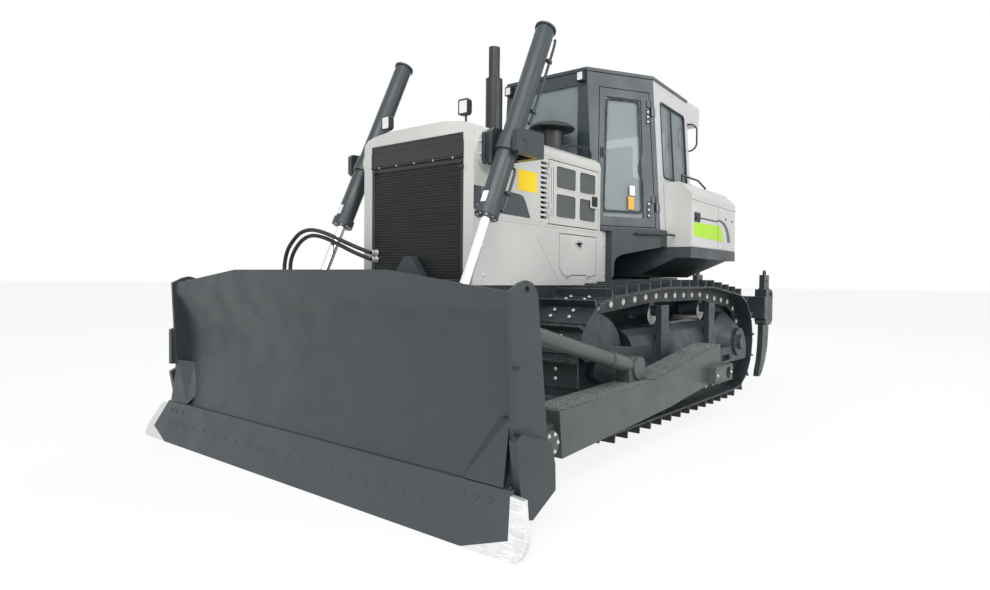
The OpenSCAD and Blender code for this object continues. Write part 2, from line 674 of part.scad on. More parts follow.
module blade() {
    zc = 745;
    yc = -4330;
    rc = 1080;
    front = [for (k = [0:15]) let (z = 300 + k * 60, w = min(z, 1200))
        [yc + sqrt(rc * rc - pow(w - zc, 2)), z]];
    skin = concat([[-3408, 150], [-3352, 290]], front, [[front[15][0], blade_top]],
        [[front[15][0] + blade_t, blade_top]],
        [for (k = [0:15]) front[15 - k] + [blade_t, 0]], [[-3352 + blade_t, 290],
        [-3408 + blade_t, 150]]);
    hw = blade_w / 2 - 26;
    seat_gap = 0.3;
    color(c_dark) {
        intersection() {
            side_cut(-hw, hw) polygon(skin);
            front_cut(-3600, -3000) polygon([[-hw, 100], [hw, 100], [hw, 1283], [861, blade_top],
                [-861, blade_top], [-hw, 1283]]);
        }
        difference() {
            side_cut(-hw, hw) polygon([[-3340, 330], [-3120, 230], [-3060, 230], [-3060, 560],
                [-3225, 600], [-3225, 700], [-3340, 700]]);
            side_cut(-hw - 1, hw + 1) polygon(concat([[-3408 + blade_t, 150]], [[-3352 + blade_t, 290]],
                [for (k = [0:7]) front[k] + [blade_t, 0]], [[-3600, 720], [-3600, 150]]));
        }
        both() {
            side_cut(hw, hw + 26) difference() {
                polygon([[-3372, 1288], [-3290, 1330], [-3237, 1343], [-3190, 1330], [-3145, 1277],
                    [-3029, 349], [-3023, 204], [-3225, 98], [-3372, 150], [-3325, 251]]);
                translate([-3237, 1293]) circle(r = 20);
            }
            // Doubling plates outside the end plate
            side_cut(hw + 25, hw + 69) polygon([[-3372, 600], [-3262, 600], [-3262, 690],
                [-3300, 860], [-3330, 908], [-3372, 890]]);
            side_cut(hw + 25, hw + 69) polygon([[-3372, 536], [-3325, 251], [-3372, 150],
                [-3225, 98], [-3023, 204], [-3029, 349], [-3068, 475], [-3318, 565]]);
            // Gusset in the lower corner of the mouldboard
            hull() {
                translate([1707, -3257, 616]) cube(6);
                translate([hw - 6, -3338, 629]) cube(6);
                translate([1545, -3303, 370]) cube(6);
                translate([1560, -3380, 296]) cube(6);
                translate([hw - 6, -3384, 296]) cube(6);
            }
            // Lugs behind the mouldboard, each set on its curved back
            difference() {
                for (x = [lift_x - lift_lug - 26, lift_x + lift_lug])
                    side_cut(x, x + 26) polygon([[-3275, 1060], [lift_ey - 20, lift_ez + 60],
                        [lift_ey + 60, lift_ez + 30], [lift_ey + 60, lift_ez - 30],
                        [lift_ey - 20, lift_ez - 70], [-3230, 800]]);
                side_cut(0, hw) translate([seat_gap, 0]) polygon(skin);
            }
            difference() {
                for (x = [1360, 1446])
                    side_cut(x, x + 24) polygon([[-3330, 1230], [-3000, 1160], [-2950, 1100],
                        [-3000, 1040], [-3250, 960]]);
                side_cut(0, hw) translate([seat_gap, 0]) polygon(skin);
            }
            for (x = [arm_in + 24, arm_out - 52])
                side_cut(x, x + 28) difference() {
                    polygon([[-3060 + seat_gap, 500], [-2660, 400], [-2560, 350], [-2560, 290],
                        [-2660, 240], [-3060 + seat_gap, 240]]);
                    translate([-2620, 320]) circle(r = 45.06);
                }
        }
    }
}
module cutting_edge() {
    color(c_dark) {
        side_cut(-bit_in, bit_in) edge_section();
        both() intersection() {
            side_cut(bit_in, bit_out - 50) edge_section();
            front_cut(-half_len - 90, -half_len + 210) polygon([[bit_in + 0.3, 0],
                [bit_out - 391, 0], [bit_out - 106, 84], [bit_out - 161, 268],
                [bit_out - 165, 290], [bit_in + 0.3, 290]]);
        }
    }
}
module push_arms() {
    color(c_arm) both() {
        difference() {
            union() {
                side_cut(arm_in, arm_out) polygon([[-2535, 510], [-1215, 545], [190, 738],
                    [216, 728], [216, 400], [32, 376], [-672, 306], [-886, 283], [-2500, 199]]);
                box(arm_in, arm_out, -60, 340, 372, 538);
                box(arm_out - 10, arm_out + 83, -105, 340, 378, 535);
                box(arm_in + 52.2, arm_out - 52.2, -2700, -2500, 240, 420);
            }
            xcyl(arm_in - 10, arm_out + 90, arm_y, arm_z, arm_pin_r + 0.08);
        }
        xcyl(arm_in + 24, arm_out - 20, -2620, 320, 45);
        xcyl(arm_out - 20, arm_out + 2, -2620, 320, 82);
    }
}
module braces() {
    color(c_arm) {
        both() {
            on_line(1415, -1330, 660, -atan2(-1660, 440)) cylinder(h = 1640, r = 55);
            on_line(1415, -1330, 660, -atan2(-1660, 440)) cylinder(h = 330, r = 66);
            side_cut(1384.2, 1445.8) polygon([[-3040, 1060], [-2920, 1030], [-2920, 1140],
                [-3040, 1170]]);
            side_cut(1345, 1470) polygon([[-1430, 539.6], [-1230, 544.9], [-1230, 700],
                [-1290, 740], [-1400, 740], [-1430, 700]]);
            xcyl(1345, 1490, -1290, 645, 92);
        }
        // Port block of the tilt cylinder
        box(-1475, -1355, -2640, -2560, 990, 1080);
    }
}
module ripper_links() {
    lug_lo = rip_z - 100;
    gap = 0.3;
    color(c_dark) both() {
        difference() {
            union() {
                box(481, 599, rip_y, beam_y, rip_z - 60, rip_z + 60);
                xcyl(481, 599, rip_y, rip_z, 80);
                xcyl(481, 599, beam_y, rip_z, 80);
            }
            for (y = [rip_y, beam_y])
                xcyl(470, 610, y, rip_z, 35.07);
        }
        box(rcyl_x - 80, 599, reye_y - 50, reye_y + 90, lug_lo - 30, lug_lo);
        box(481, 599, reye_y - 50, reye_y + 90, lug_lo + gap, rip_z - 60 - gap);
        box(rcyl_x + 41, 481 - gap, reye_y - 50, reye_y + 50, lug_lo + gap, rip_z + 50);
        box(rcyl_x - 80, rcyl_x - 41, reye_y - 50, reye_y + 50, lug_lo + gap, rip_z + 50);
    }
}
module ripper_struts() {
    color(c_dark) both()
        difference() {
            union() {
                xcyl(481, 599, rip_y, rip_z + rip_h, 75);
                xcyl(481, 599, beam_y, rip_z + rip_h, 75);
                box(495, 585, rip_y, beam_y, rip_z + rip_h - 50, rip_z + rip_h + 50);
            }
            for (y = [rip_y, beam_y])
                xcyl(470, 610, y, rip_z + rip_h, 35.07);
        }
}
module ripper_beam() {
    hw = pocket_w / 2;
    color(c_dark) {
        box(-shank_x - 110, shank_x + 110, half_len - 460, half_len - 310.2, 840, 1150);
        both() {
            for (x = [440, 600])
                side_cut(x, x + 40) polygon([[half_len - 460, 500], [beam_y, rip_z - 90],
                    [beam_y - 80, rip_z], [beam_y - 80, rip_z + rip_h],
                    [beam_y, rip_z + rip_h + 90], [half_len - 460, 1220]]);
            for (z = [rip_z, rip_z + rip_h])
                xcyl(440, 640, beam_y, z, 35);
        }
        for (x = [-shank_x, 0, shank_x]) {
            difference() {
                side_cut(x - hw, x + hw) polygon([[half_len - 310.2, 800], [half_len - 270, 740],
                    [half_len - 70, 740], [half_len, 800], [half_len, 1190],
                    [half_len - 70, 1250], [half_len - 310.2, 1250]]);
                box(x - 38, x + 38, half_len - 290.2, half_len - 30, 700, 1300);
            }
            // Heads of the pin through the pocket
            xcyl(x + hw, x + hw + 16, half_len - 90, 1178, 30);
            xcyl(x - hw - 16, x - hw, half_len - 90, 1178, 30);
        }
    }
}
module ripper_shanks() {
    color(c_steel)
        for (x = [-shank_x, 0, shank_x]) {
            side_cut(x - 37.8, x + 37.8) difference() {
                polygon([[half_len - 260, 1455], [half_len - 50, 1455], [half_len - 50, 1270],
                    [half_len - 30.2, 1265], [half_len - 30.2, 640], [half_len - 70, 420],
                    [half_len - 165, 215], [half_len - 295, 70], [half_len - 380, 20],
                    [half_len - 450, 20], [half_len - 435, 90], [half_len - 360, 230],
                    [half_len - 310, 420], [half_len - 290, 640], [half_len - 290, 1265],
                    [half_len - 260, 1270]]);
                translate([half_len - 155, 1365]) circle(r = 24);
            }
            side_cut(x - 12, x + 12) difference() {
                union() {
                    translate([half_len - 155, 1478]) circle(r = 47);
                    translate([half_len - 202, 1454]) square([94, 24]);
                }
                translate([half_len - 155, 1480]) circle(r = 24);
            }
        }
}
module ripper_barrels() {
    color(c_dark) both()
        on_line(rcyl_x, rcyl_y, rcyl_z, rcyl_a)
            difference() {
                union() {
                    translate([0, 0, 0]) cylinder(h = 472, r = 60);
                    translate([-50, 0, 0]) rotate([0, 90, 0]) cylinder(h = 100, r = 58);
                }
                translate([0, 0, 56]) cylinder(h = 500, r = 32.2);
                translate([-60, 0, 0]) rotate([0, 90, 0]) cylinder(h = 120, r = 28.07);
            }
}
module ripper_rods() {
    color(c_chrome) both()
        on_line(rcyl_x, rcyl_y, rcyl_z, rcyl_a)
            union() {
                translate([0, 0, 276]) cylinder(h = rcyl_l - 276, r = 32);
                translate([-35, 0, rcyl_l]) rotate([0, 90, 0]) cylinder(h = 70, r = 46);
            }
}
module drive_shape(e) {
    translate([0, sprocket_y, sprocket_z]) rotate([0, 90, 0]) rotate_extrude()
        polygon([[0, 480], [drive_r + e, 480], [drive_r + e, track_x + 60 - e],
                 [345 + e, track_x + 60 - e],
                 [345 + e, track_x + 100 + e], [190 + e, track_x + 262 + e],
                 [165 + e, track_x + 262 + e], [165 + e, hub_out - 40], [90 + e, hub_out - 40],
                 [90 + e, hub_out], [0, hub_out]]);
}
// Hinge knuckle on the hood's side with an upright pin
module knuckle_z(y, z0, z1, fixed) {
    x = hood_hw + 9;
    difference() {
        union() {
            zcyl(x, y, z0, z1, 9);
            box(hood_hw, x, fixed ? y - 24 : y, fixed ? y : y + 24, z0, z1);
        }
        if (!fixed) zcyl(x, y, z0 - 1, z1 + 1, 4.06);
    }
    if (fixed) zcyl(x, y, z1, z1 + 50, 4);
}
module knuckle_y(z, y0, y1, fixed) {
    x = hood_hw + 9;
    difference() {
        union() {
            translate([x, y0, z]) rotate([-90, 0, 0]) cylinder(h = y1 - y0, r = 9);
            box(hood_hw, x, y0, y1, fixed ? z - 24 : z, fixed ? z : z + 24);
        }
        if (!fixed)
            translate([x, y0 - 1, z]) rotate([-90, 0, 0]) cylinder(h = y1 - y0 + 2, r = 4.06);
    }
    if (fixed) translate([x, y1, z]) rotate([-90, 0, 0]) cylinder(h = 40, r = 4);
}
// Outline of the service door, grown by e: X along the machine, Y up
module service_plan(e) {
    polygon([[-1176 - e / 2, service_z - e], [-630 + e, service_z - e], [-630 + e, 1759 + e],
        [-1235 - e, 1759 + e], [-1235 - e, 1455 - e / 2]]);
}
// Cushion and back of the seat
module seat() {
    color(c_black) {
        side_cut(-245, 245) polygon([[190, 2205], [215, 2180.6], [690, 2180.6], [690, 2290],
            [640, 2310], [260, 2325], [205, 2305], [190, 2280]]);
        side_cut(-235, 235) polygon([[706, 2180.6], [816, 2180.6], [820, 2700], [806, 2920],
            [780, 2945], [750, 2930], [722, 2700], [700.3, 2400]]);
    }
}
// Section of the cutting edge: X along the machine, Y up
module edge_section() {
    polygon([[-half_len, 0], [-half_len + 42, 0], [-3352.3, 290], [-3382, 290]]);
}
// Flared corner bits outside the cutting edge
module end_bits() {
    color(c_steel) both() intersection() {
        side_cut(bit_in, bit_out) edge_section();
        front_cut(-half_len - 90, -half_len + 210) polygon([[bit_out - 388.8, 0],
            [bit_out - 105.2, 83.8], [bit_out - 160.2, 268], [bit_out - 72, 262],
            [bit_out, 95], [bit_out, 45], [bit_out - 20, 12], [bit_out - 50, 0]]);
    }
}
// Ring of points carried along the bar p to its corner i, cut on the mitre there
function mitre(p, ring, i) = let (a = unit(p[i] - p[i - 1]),
    b = i < len(p) - 1 ? unit(p[i + 1] - p[i]) : a, t = unit(a + b))
    [for (q = ring) q + a * (((p[i] - q) * t) / (a * t))];
function rims(p, ring, i) = i == len(p) ? ring : concat(ring, rims(p, mitre(p, ring, i), i + 1));
// Twelve-sided bar through the points p
module bar(p, r) {
    n = len(p);
    t = unit(p[1] - p[0]);
    u = unit(cross(t, [1, 1, 1]));
    v = cross(t, u);
    ring = [for (k = [0:11]) p[0] + r * (cos(k * 30) * u + sin(k * 30) * v)];
    polyhedron(rims(p, ring, 1), concat([[for (k = [0:11]) k]],
        [[for (k = [0:11]) n * 12 - 1 - k]],
        [for (i = [0:n - 2]) for (k = [0:11]) let (j = (k + 1) % 12)
            each [[i * 12 + k, (i + 1) * 12 + k, (i + 1) * 12 + j],
                [i * 12 + k, (i + 1) * 12 + j, i * 12 + j]]]));
}
// Flat ring with two round ends: half width w, half height h
module loop_plan(w, h) {
    translate([0, h - w]) circle(r = w);
    translate([0, w - h]) circle(r = w);
    square([2 * w, 2 * (h - w)], center = true);
}
module rails_lamps() {
    lamp_z = 2668;
    color(c_black) {
        both() {
            // Work lamps on stalks
            front_cut(-2271, -2232) polygon([[402, lamp_z - 46], [418, lamp_z - 62],
                [492, lamp_z - 62], [508, lamp_z - 46], [508, lamp_z + 46], [492, lamp_z + 62],
                [418, lamp_z + 62], [402, lamp_z + 46]]);
            front_cut(-2232, -2214) polygon([[418, lamp_z - 40], [492, lamp_z - 40],
                [492, lamp_z + 40], [418, lamp_z + 40]]);
            zcyl(455, -2240, 2544.8, lamp_z - 40, 9);
            // Small lamps under the roof's front corners
            front_cut(-668, -630) polygon([[412, 3296], [424, 3286], [488, 3286], [498, 3296],
                [498, 3374], [488, 3384], [424, 3384], [412, 3374]]);
            box(440, 470, -630, cab_yf - 0.3, 3310, 3360);
            // Grab handle on the hood
            bar([[575, -1120, 2524], [575, -1120, 2552], [590, -1000, 2592], [590, -700, 2602],
                [575, -640, 2560], [575, -640, 2524]], 11);
            // Bar beside the platform
            bar([[866, -242, 1819], [882, -250, 1819], [1096, 76, 1819], [1096, 155.7, 1819]], 11);
            // Rail on the tank
            bar([[1060, 392, 2368.3], [1060, 392, 2470], [1060, 816, 2470], [1060, 1018, 2410],
                [1060, 1018, 2368.3]], 11);
            // Loop behind the cab's corner
            translate([873, 999, 3000]) rotate([90, 0, 0]) linear_extrude(16)
                difference() {
                    loop_plan(96, 160);
                    loop_plan(82, 146);
                }
            for (z = [2940, 3046])
                box(777, 791, cab_yr + 0.3, 990, z, z + 14);
        }
    }
}
module hose(p, r) {
    w = ways(p);
    n = len(w);
    rim = [for (i = [0:n - 1])
        let (t = unit(w[min(i + 1, n - 1)] - w[max(i - 1, 0)]), u = unit(cross(t, [1, 1, 1])),
             v = cross(t, u))
            each [for (k = [0:7]) w[i] + r * (cos(k * 45) * u + sin(k * 45) * v)]];
    polyhedron(rim, concat([[for (k = [0:7]) k]], [[for (k = [0:7]) n * 8 - 1 - k]],
        [for (i = [0:n - 2]) for (k = [0:7]) let (j = (k + 1) % 8)
            each [[i * 8 + k, (i + 1) * 8 + k, (i + 1) * 8 + j], [i * 8 + k, (i + 1) * 8 + j,
                i * 8 + j]]]));
}
module hoses() {
    color(c_black)
        for (p = [hose_a, hose_b])
            hose(p, hose_r);
}

main_frame();
engine_block();
grille();
hood_shell();
hood_sides();
engine_door_left();
engine_door_right();
service_door_left();
service_door_right();
stacks();
cab_shell();
cab_roof();
cab_glass();
cab_door_left();
cab_door_right();
door_glass_left();
door_glass_right();
cab_inside();
ac_unit();
platform();
side_tanks();
track_frames();
track_left();
track_right();
sprockets();
idlers();
rollers();
final_drives();
lift_yokes();
lift_barrels();
lift_rods();
blade();
cutting_edge();
push_arms();
braces();
end_bits();
seat();
rails_lamps();
hoses();
ripper_links();
ripper_struts();
ripper_beam();
ripper_shanks();
ripper_barrels();
ripper_rods();
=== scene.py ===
"""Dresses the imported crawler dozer: camera, lights, painted steel, rubber, glass and small parts.

The object's frame: +Z up, front towards -Y, the machine's left side towards +X. Blender works in
metres; the small parts are laid out in millimetres, as the part's source is, and scaled once.
"""

import math

import bmesh
import bpy
from mathutils import Matrix, Vector


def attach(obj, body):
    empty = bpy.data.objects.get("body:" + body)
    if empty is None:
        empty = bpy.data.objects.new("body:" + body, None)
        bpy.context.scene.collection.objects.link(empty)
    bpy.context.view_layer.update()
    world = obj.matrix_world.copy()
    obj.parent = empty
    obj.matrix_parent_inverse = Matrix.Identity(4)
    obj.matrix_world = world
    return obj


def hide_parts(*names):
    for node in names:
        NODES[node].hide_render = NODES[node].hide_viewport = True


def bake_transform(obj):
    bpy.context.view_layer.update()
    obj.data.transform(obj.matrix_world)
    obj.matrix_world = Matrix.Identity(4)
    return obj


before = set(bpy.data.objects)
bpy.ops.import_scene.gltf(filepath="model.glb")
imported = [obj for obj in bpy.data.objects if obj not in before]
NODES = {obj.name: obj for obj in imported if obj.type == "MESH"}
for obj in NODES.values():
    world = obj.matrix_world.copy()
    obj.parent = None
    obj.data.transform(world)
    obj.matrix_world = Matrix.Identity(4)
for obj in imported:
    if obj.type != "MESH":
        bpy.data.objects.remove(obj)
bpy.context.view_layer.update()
SCENE = bpy.context.scene
MM = 0.001

# ---------------------------------------------------------------- camera and light

CAM_PLACE = Vector((3.8706, -5.7778, 1.3454))
CAM_RIGHT = Vector((0.81284, 0.58237, 0.01153))
CAM_DOWN = Vector((0.02308, -0.01242, -0.99966))
CAM_FORWARD = Vector((-0.58203, 0.81283, -0.02353))
FOCAL_PX = 626.76
CENTRE_PX = 556.96
PHOTO_W = 990


def make_camera():
    data = bpy.data.cameras.new("camera")
    data.sensor_fit = "HORIZONTAL"
    data.sensor_width = 36.0
    data.lens = 36.0 * FOCAL_PX / PHOTO_W
    data.shift_x = -(CENTRE_PX - PHOTO_W / 2) / PHOTO_W
    data.clip_end = 400
    cam = bpy.data.objects.new("camera", data)
    rows = Matrix((CAM_RIGHT, -CAM_DOWN, -CAM_FORWARD)).transposed()
    cam.matrix_world = Matrix.Translation(CAM_PLACE) @ rows.to_4x4()
    SCENE.collection.objects.link(cam)
    SCENE.camera = cam


def area_light(name, place, target, size, power):
    data = bpy.data.lights.new(name, "AREA")
    data.shape = "RECTANGLE"
    data.size, data.size_y = size
    data.energy = power
    light = bpy.data.objects.new(name, data)
    light.location = place
    light.rotation_euler = (Vector(target) - Vector(place)).to_track_quat("-Z", "Y").to_euler()
    SCENE.collection.objects.link(light)


def seen_directly(tree):
    """1 on camera, glossy and transmission rays, 0 on the rays that light the object."""
    path = tree.nodes.new("ShaderNodeLightPath")
    total = path.outputs["Is Camera Ray"]
    for name in ("Is Glossy Ray", "Is Transmission Ray"):
        top = tree.nodes.new("ShaderNodeMath")
        top.operation = "MAXIMUM"
        tree.links.new(total, top.inputs[0])
        tree.links.new(path.outputs[name], top.inputs[1])
        total = top.outputs[0]
    return total


def make_light():
    world = bpy.data.worlds.new("studio")
    SCENE.world = world
    world.use_nodes = True
    tree = world.node_tree
    tree.nodes.clear()
    out = tree.nodes.new("ShaderNodeOutputWorld")
    fill = tree.nodes.new("ShaderNodeBackground")
    fill.inputs["Color"].default_value = (0.95, 0.97, 1.0, 1)
    fill.inputs["Strength"].default_value = 0.55
    white = tree.nodes.new("ShaderNodeBackground")
    white.inputs["Color"].default_value = (1, 1, 1, 1)
    white.inputs["Strength"].default_value = 1.0
    mix = tree.nodes.new("ShaderNodeMixShader")
    tree.links.new(seen_directly(tree), mix.inputs[0])
    tree.links.new(fill.outputs[0], mix.inputs[1])
    tree.links.new(white.outputs[0], mix.inputs[2])
    tree.links.new(mix.outputs[0], out.inputs["Surface"])
    area_light("key", (4.5, -8.0, 9.0), (0, -0.6, 1.2), (9, 6), 760)
    area_light("fill", (10.0, -1.0, 5.5), (0, 0, 1.2), (8, 5), 380)
    area_light("back", (-6.0, 8.0, 7.0), (0, 0, 1.2), (8, 5), 420)
    area_light("low", (3.0, -10.0, 1.6), (0, -2.5, 0.9), (9, 2.4), 190)


def make_floor():
    """White floor that shows only the object's shadow."""
    bm = bmesh.new()
    bmesh.ops.create_grid(bm, x_segments=1, y_segments=1, size=150)
    data = bpy.data.meshes.new("floor")
    bm.to_mesh(data)
    bm.free()
    floor = bpy.data.objects.new("floor", data)
    SCENE.collection.objects.link(floor)
    mat = bpy.data.materials.new("floor")
    mat.use_nodes = True
    tree = mat.node_tree
    shader = tree.nodes["Principled BSDF"]
    shader.inputs["Base Color"].default_value = (0.90, 0.90, 0.90, 1)
    shader.inputs["Roughness"].default_value = 0.9
    glow = tree.nodes.new("ShaderNodeEmission")
    glow.inputs["Color"].default_value = (1, 1, 1, 1)
    mix = tree.nodes.new("ShaderNodeMixShader")
    share = tree.nodes.new("ShaderNodeMath")
    share.operation = "MULTIPLY"
    share.inputs[1].default_value = FLOOR_WHITE
    tree.links.new(seen_directly(tree), share.inputs[0])
    tree.links.new(share.outputs[0], mix.inputs[0])
    tree.links.new(shader.outputs[0], mix.inputs[1])
    tree.links.new(glow.outputs[0], mix.inputs[2])
    tree.links.new(mix.outputs[0], tree.nodes["Material Output"].inputs["Surface"])
    data.materials.append(mat)


FLOOR_WHITE = 0.86
SCENE.view_settings.view_transform = "Standard"
make_camera()
make_light()
make_floor()

# ---------------------------------------------------------------- forms


def turned(outline):
    """The outline, made to run anticlockwise."""
    area = sum(a[0] * b[1] - a[1] * b[0] for a, b in zip(outline, outline[1:] + outline[:1]))
    return list(outline) if area > 0 else list(outline)[::-1]


def offset(outline, d):
    """The outline moved outwards by d."""
    pts = [Vector(p) for p in turned([tuple(q) for q in outline])]
    out = []
    for i, p in enumerate(pts):
        e1 = (p - pts[i - 1]).normalized()
        e2 = (pts[(i + 1) % len(pts)] - p).normalized()
        n = Vector((e1.y + e2.y, -e1.x - e2.x))
        out.append(tuple(p + n * (d / max(0.3, 1 + e1.dot(e2)))))
    return out


def rounded(outline, r, steps=5):
    """The outline with its corners rounded by about r."""
    pts = [Vector(p) for p in turned([tuple(q) for q in outline])]
    out = []
    for i, p in enumerate(pts):
        a, b = pts[i - 1] - p, pts[(i + 1) % len(pts)] - p
        k = min(r, a.length * 0.45, b.length * 0.45)
        s, e = p + a.normalized() * k, p + b.normalized() * k
        for j in range(steps + 1):
            t = j / steps
            out.append(tuple(s * (1 - t) ** 2 + p * 2 * t * (1 - t) + e * t * t))
    return out


def rect(x0, x1, y0, y1):
    return [(x0, y0), (x1, y0), (x1, y1), (x0, y1)]


def ngon(r, n, turn=0.0, centre=(0, 0)):
    return [(centre[0] + r * math.cos(turn + 2 * math.pi * k / n),
             centre[1] + r * math.sin(turn + 2 * math.pi * k / n)) for k in range(n)]


def stack(rings, caps=True):
    """Rings of as many points each, joined into a closed form."""
    n = len(rings[0])
    verts = [tuple(p) for ring in rings for p in ring]
    faces = [(i * n + k, i * n + (k + 1) % n, (i + 1) * n + (k + 1) % n, (i + 1) * n + k)
             for i in range(len(rings) - 1) for k in range(n)]
    if caps:
        faces.append(tuple(range(n))[::-1])
        faces.append(tuple((len(rings) - 1) * n + k for k in range(n)))
    return verts, faces


def prism(outline, z0, z1, chamfer=0.0):
    base = turned(outline)
    rings = [[(x, y, z0) for x, y in base]]
    if chamfer:
        rings.append([(x, y, z1 - chamfer) for x, y in base])
        rings.append([(x, y, z1) for x, y in offset(base, -chamfer)])
    else:
        rings.append([(x, y, z1) for x, y in base])
    return stack(rings)


def ring_form(outer, inner, z0, z1, chamfer=0.0):
    """A flat frame between two outlines of as many points."""
    o, i = turned(outer), turned(inner)
    c = chamfer
    rings = [[(*p, z0) for p in o], [(*p, z1 - c) for p in o]]
    if c:
        rings += [[(*p, z1) for p in offset(o, -c)], [(*p, z1) for p in offset(i, c)]]
    rings += [[(*p, z1 - c) for p in i], [(*p, z0) for p in i]]
    verts, faces = stack(rings, caps=False)
    n, last = len(o), len(rings) - 1
    faces += [(last * n + k, last * n + (k + 1) % n, (k + 1) % n, k) for k in range(n)]
    return verts, faces


def lathe(profile, sides=24):
    """Turned form: profile is a list of radius and height, low to high."""
    rings = [[(max(r, 0.01) * math.cos(2 * math.pi * k / sides),
               max(r, 0.01) * math.sin(2 * math.pi * k / sides), z) for k in range(sides)]
             for r, z in profile]
    return stack(rings)


def tube(points, r, sides=10):
    """Round bar along the points; r is one radius or one for each point."""
    pts = [Vector(p) for p in points]
    radii = r if isinstance(r, (list, tuple)) else [r] * len(pts)
    t = (pts[1] - pts[0]).normalized()
    side = t.cross(Vector((0.31, 0.52, 0.79))).normalized()
    rings = []
    for i, p in enumerate(pts):
        a = (p - pts[i - 1]).normalized() if i else t
        b = (pts[i + 1] - p).normalized() if i < len(pts) - 1 else a
        mid = (a + b).normalized()
        side = (side - mid * side.dot(mid)).normalized()
        up = mid.cross(side)
        rings.append([p + (side * math.cos(2 * math.pi * k / sides)
                           + up * math.sin(2 * math.pi * k / sides)) * radii[i]
                      for k in range(sides)])
    return stack(rings)


def smooth_way(points, steps=6):
    """A smooth line through the points."""
    pts = [Vector(p) for p in points]
    out = []
    for i in range(len(pts) - 1):
        a, b, c = pts[max(i - 1, 0)], pts[i], pts[i + 1]
        d = pts[min(i + 2, len(pts) - 1)]
        for j in range(steps):
            t = j / steps
            out.append(0.5 * (2 * b + (c - a) * t + (2 * a - 5 * b + 4 * c - d) * t * t
                              + (3 * b - a - 3 * c + d) * t ** 3))
    return out + [pts[-1]]


def facing(place, normal, up=(0, 0, 1)):
    """Matrix whose local Z looks along the normal, with local Y near up."""
    z = Vector(normal).normalized()
    x = Vector(up).cross(z)
    if x.length < 1e-4:
        x = Vector((1, 0, 0))
    x.normalize()
    y = z.cross(x)
    rows = Matrix((x, y, z)).transposed().to_4x4()
    return Matrix.Translation(Vector(place)) @ rows


LEFT = Vector((1, 0, 0))
FRONT = Vector((0, -1, 0))
BACK = Vector((0, 1, 0))
UP = Vector((0, 0, 1))


class Kit:
    """Collects small forms, laid out in millimetres, into one piece."""

    kits = {}

    def __init__(self, name, body, material, slot=None):
        self.name, self.body, self.material, self.slot = name, body, material, slot
        self.verts, self.faces = [], []
        Kit.kits[name] = self

    def add(self, form, place=None, both=False):
        verts, faces = form
        pts = [Vector(v) for v in verts]
        if place is not None:
            pts = [place @ p for p in pts]
        self.join(pts, faces)
        if both:
            self.join([Vector((-p.x, p.y, p.z)) for p in pts], [f[::-1] for f in faces])
        return self

    def join(self, pts, faces):
        n = len(self.verts)
        self.verts += [p * MM for p in pts]
        self.faces += [tuple(n + i for i in f) for f in faces]

    def box(self, x0, x1, y0, y1, z0, z1, both=False, chamfer=2.0):
        c = min(chamfer, (x1 - x0) / 3, (y1 - y0) / 3, (z1 - z0) / 3)
        base = rect(x0, x1, y0, y1)
        small = offset(base, -c)
        rings = [[(*p, z0) for p in small], [(*p, z0 + c) for p in base],
                 [(*p, z1 - c) for p in base], [(*p, z1) for p in small]]
        return self.add(stack(rings), None, both)

    def bolts(self, places, normal, size=9.0, high=None, both=False, up=(0, 0, 1)):
        """Hexagon heads on washers."""
        high = high or size * 0.75
        head = [ngon(size, 6)]
        rings = [[(*p, 1.5) for p in head[0]], [(*p, high) for p in head[0]],
                 [(*p, high + size * 0.14) for p in ngon(size * 0.8, 6)]]
        for place in places:
            at = facing(place, normal, up)
            self.add(lathe([(size * 1.35, -0.5), (size * 1.35, 1.2), (size * 1.25, 1.6)], 12), at,
                     both)
            self.add(stack(rings), at, both)
        return self

    def make(self):
        data = bpy.data.meshes.new(self.name)
        data.from_pydata([tuple(v) for v in self.verts], [], self.faces)
        data.validate()
        bm = bmesh.new()
        bm.from_mesh(data)
        bmesh.ops.recalc_face_normals(bm, faces=bm.faces)
        bm.to_mesh(data)
        bm.free()
        data.shade_smooth()
        data.set_sharp_from_angle(angle=math.radians(32))
        data.materials.append(self.material)
        obj = bpy.data.objects.new(self.name, data)
        SCENE.collection.objects.link(obj)
        if self.body:
            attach(obj, self.body)
        return obj

# ---------------------------------------------------------------- materials


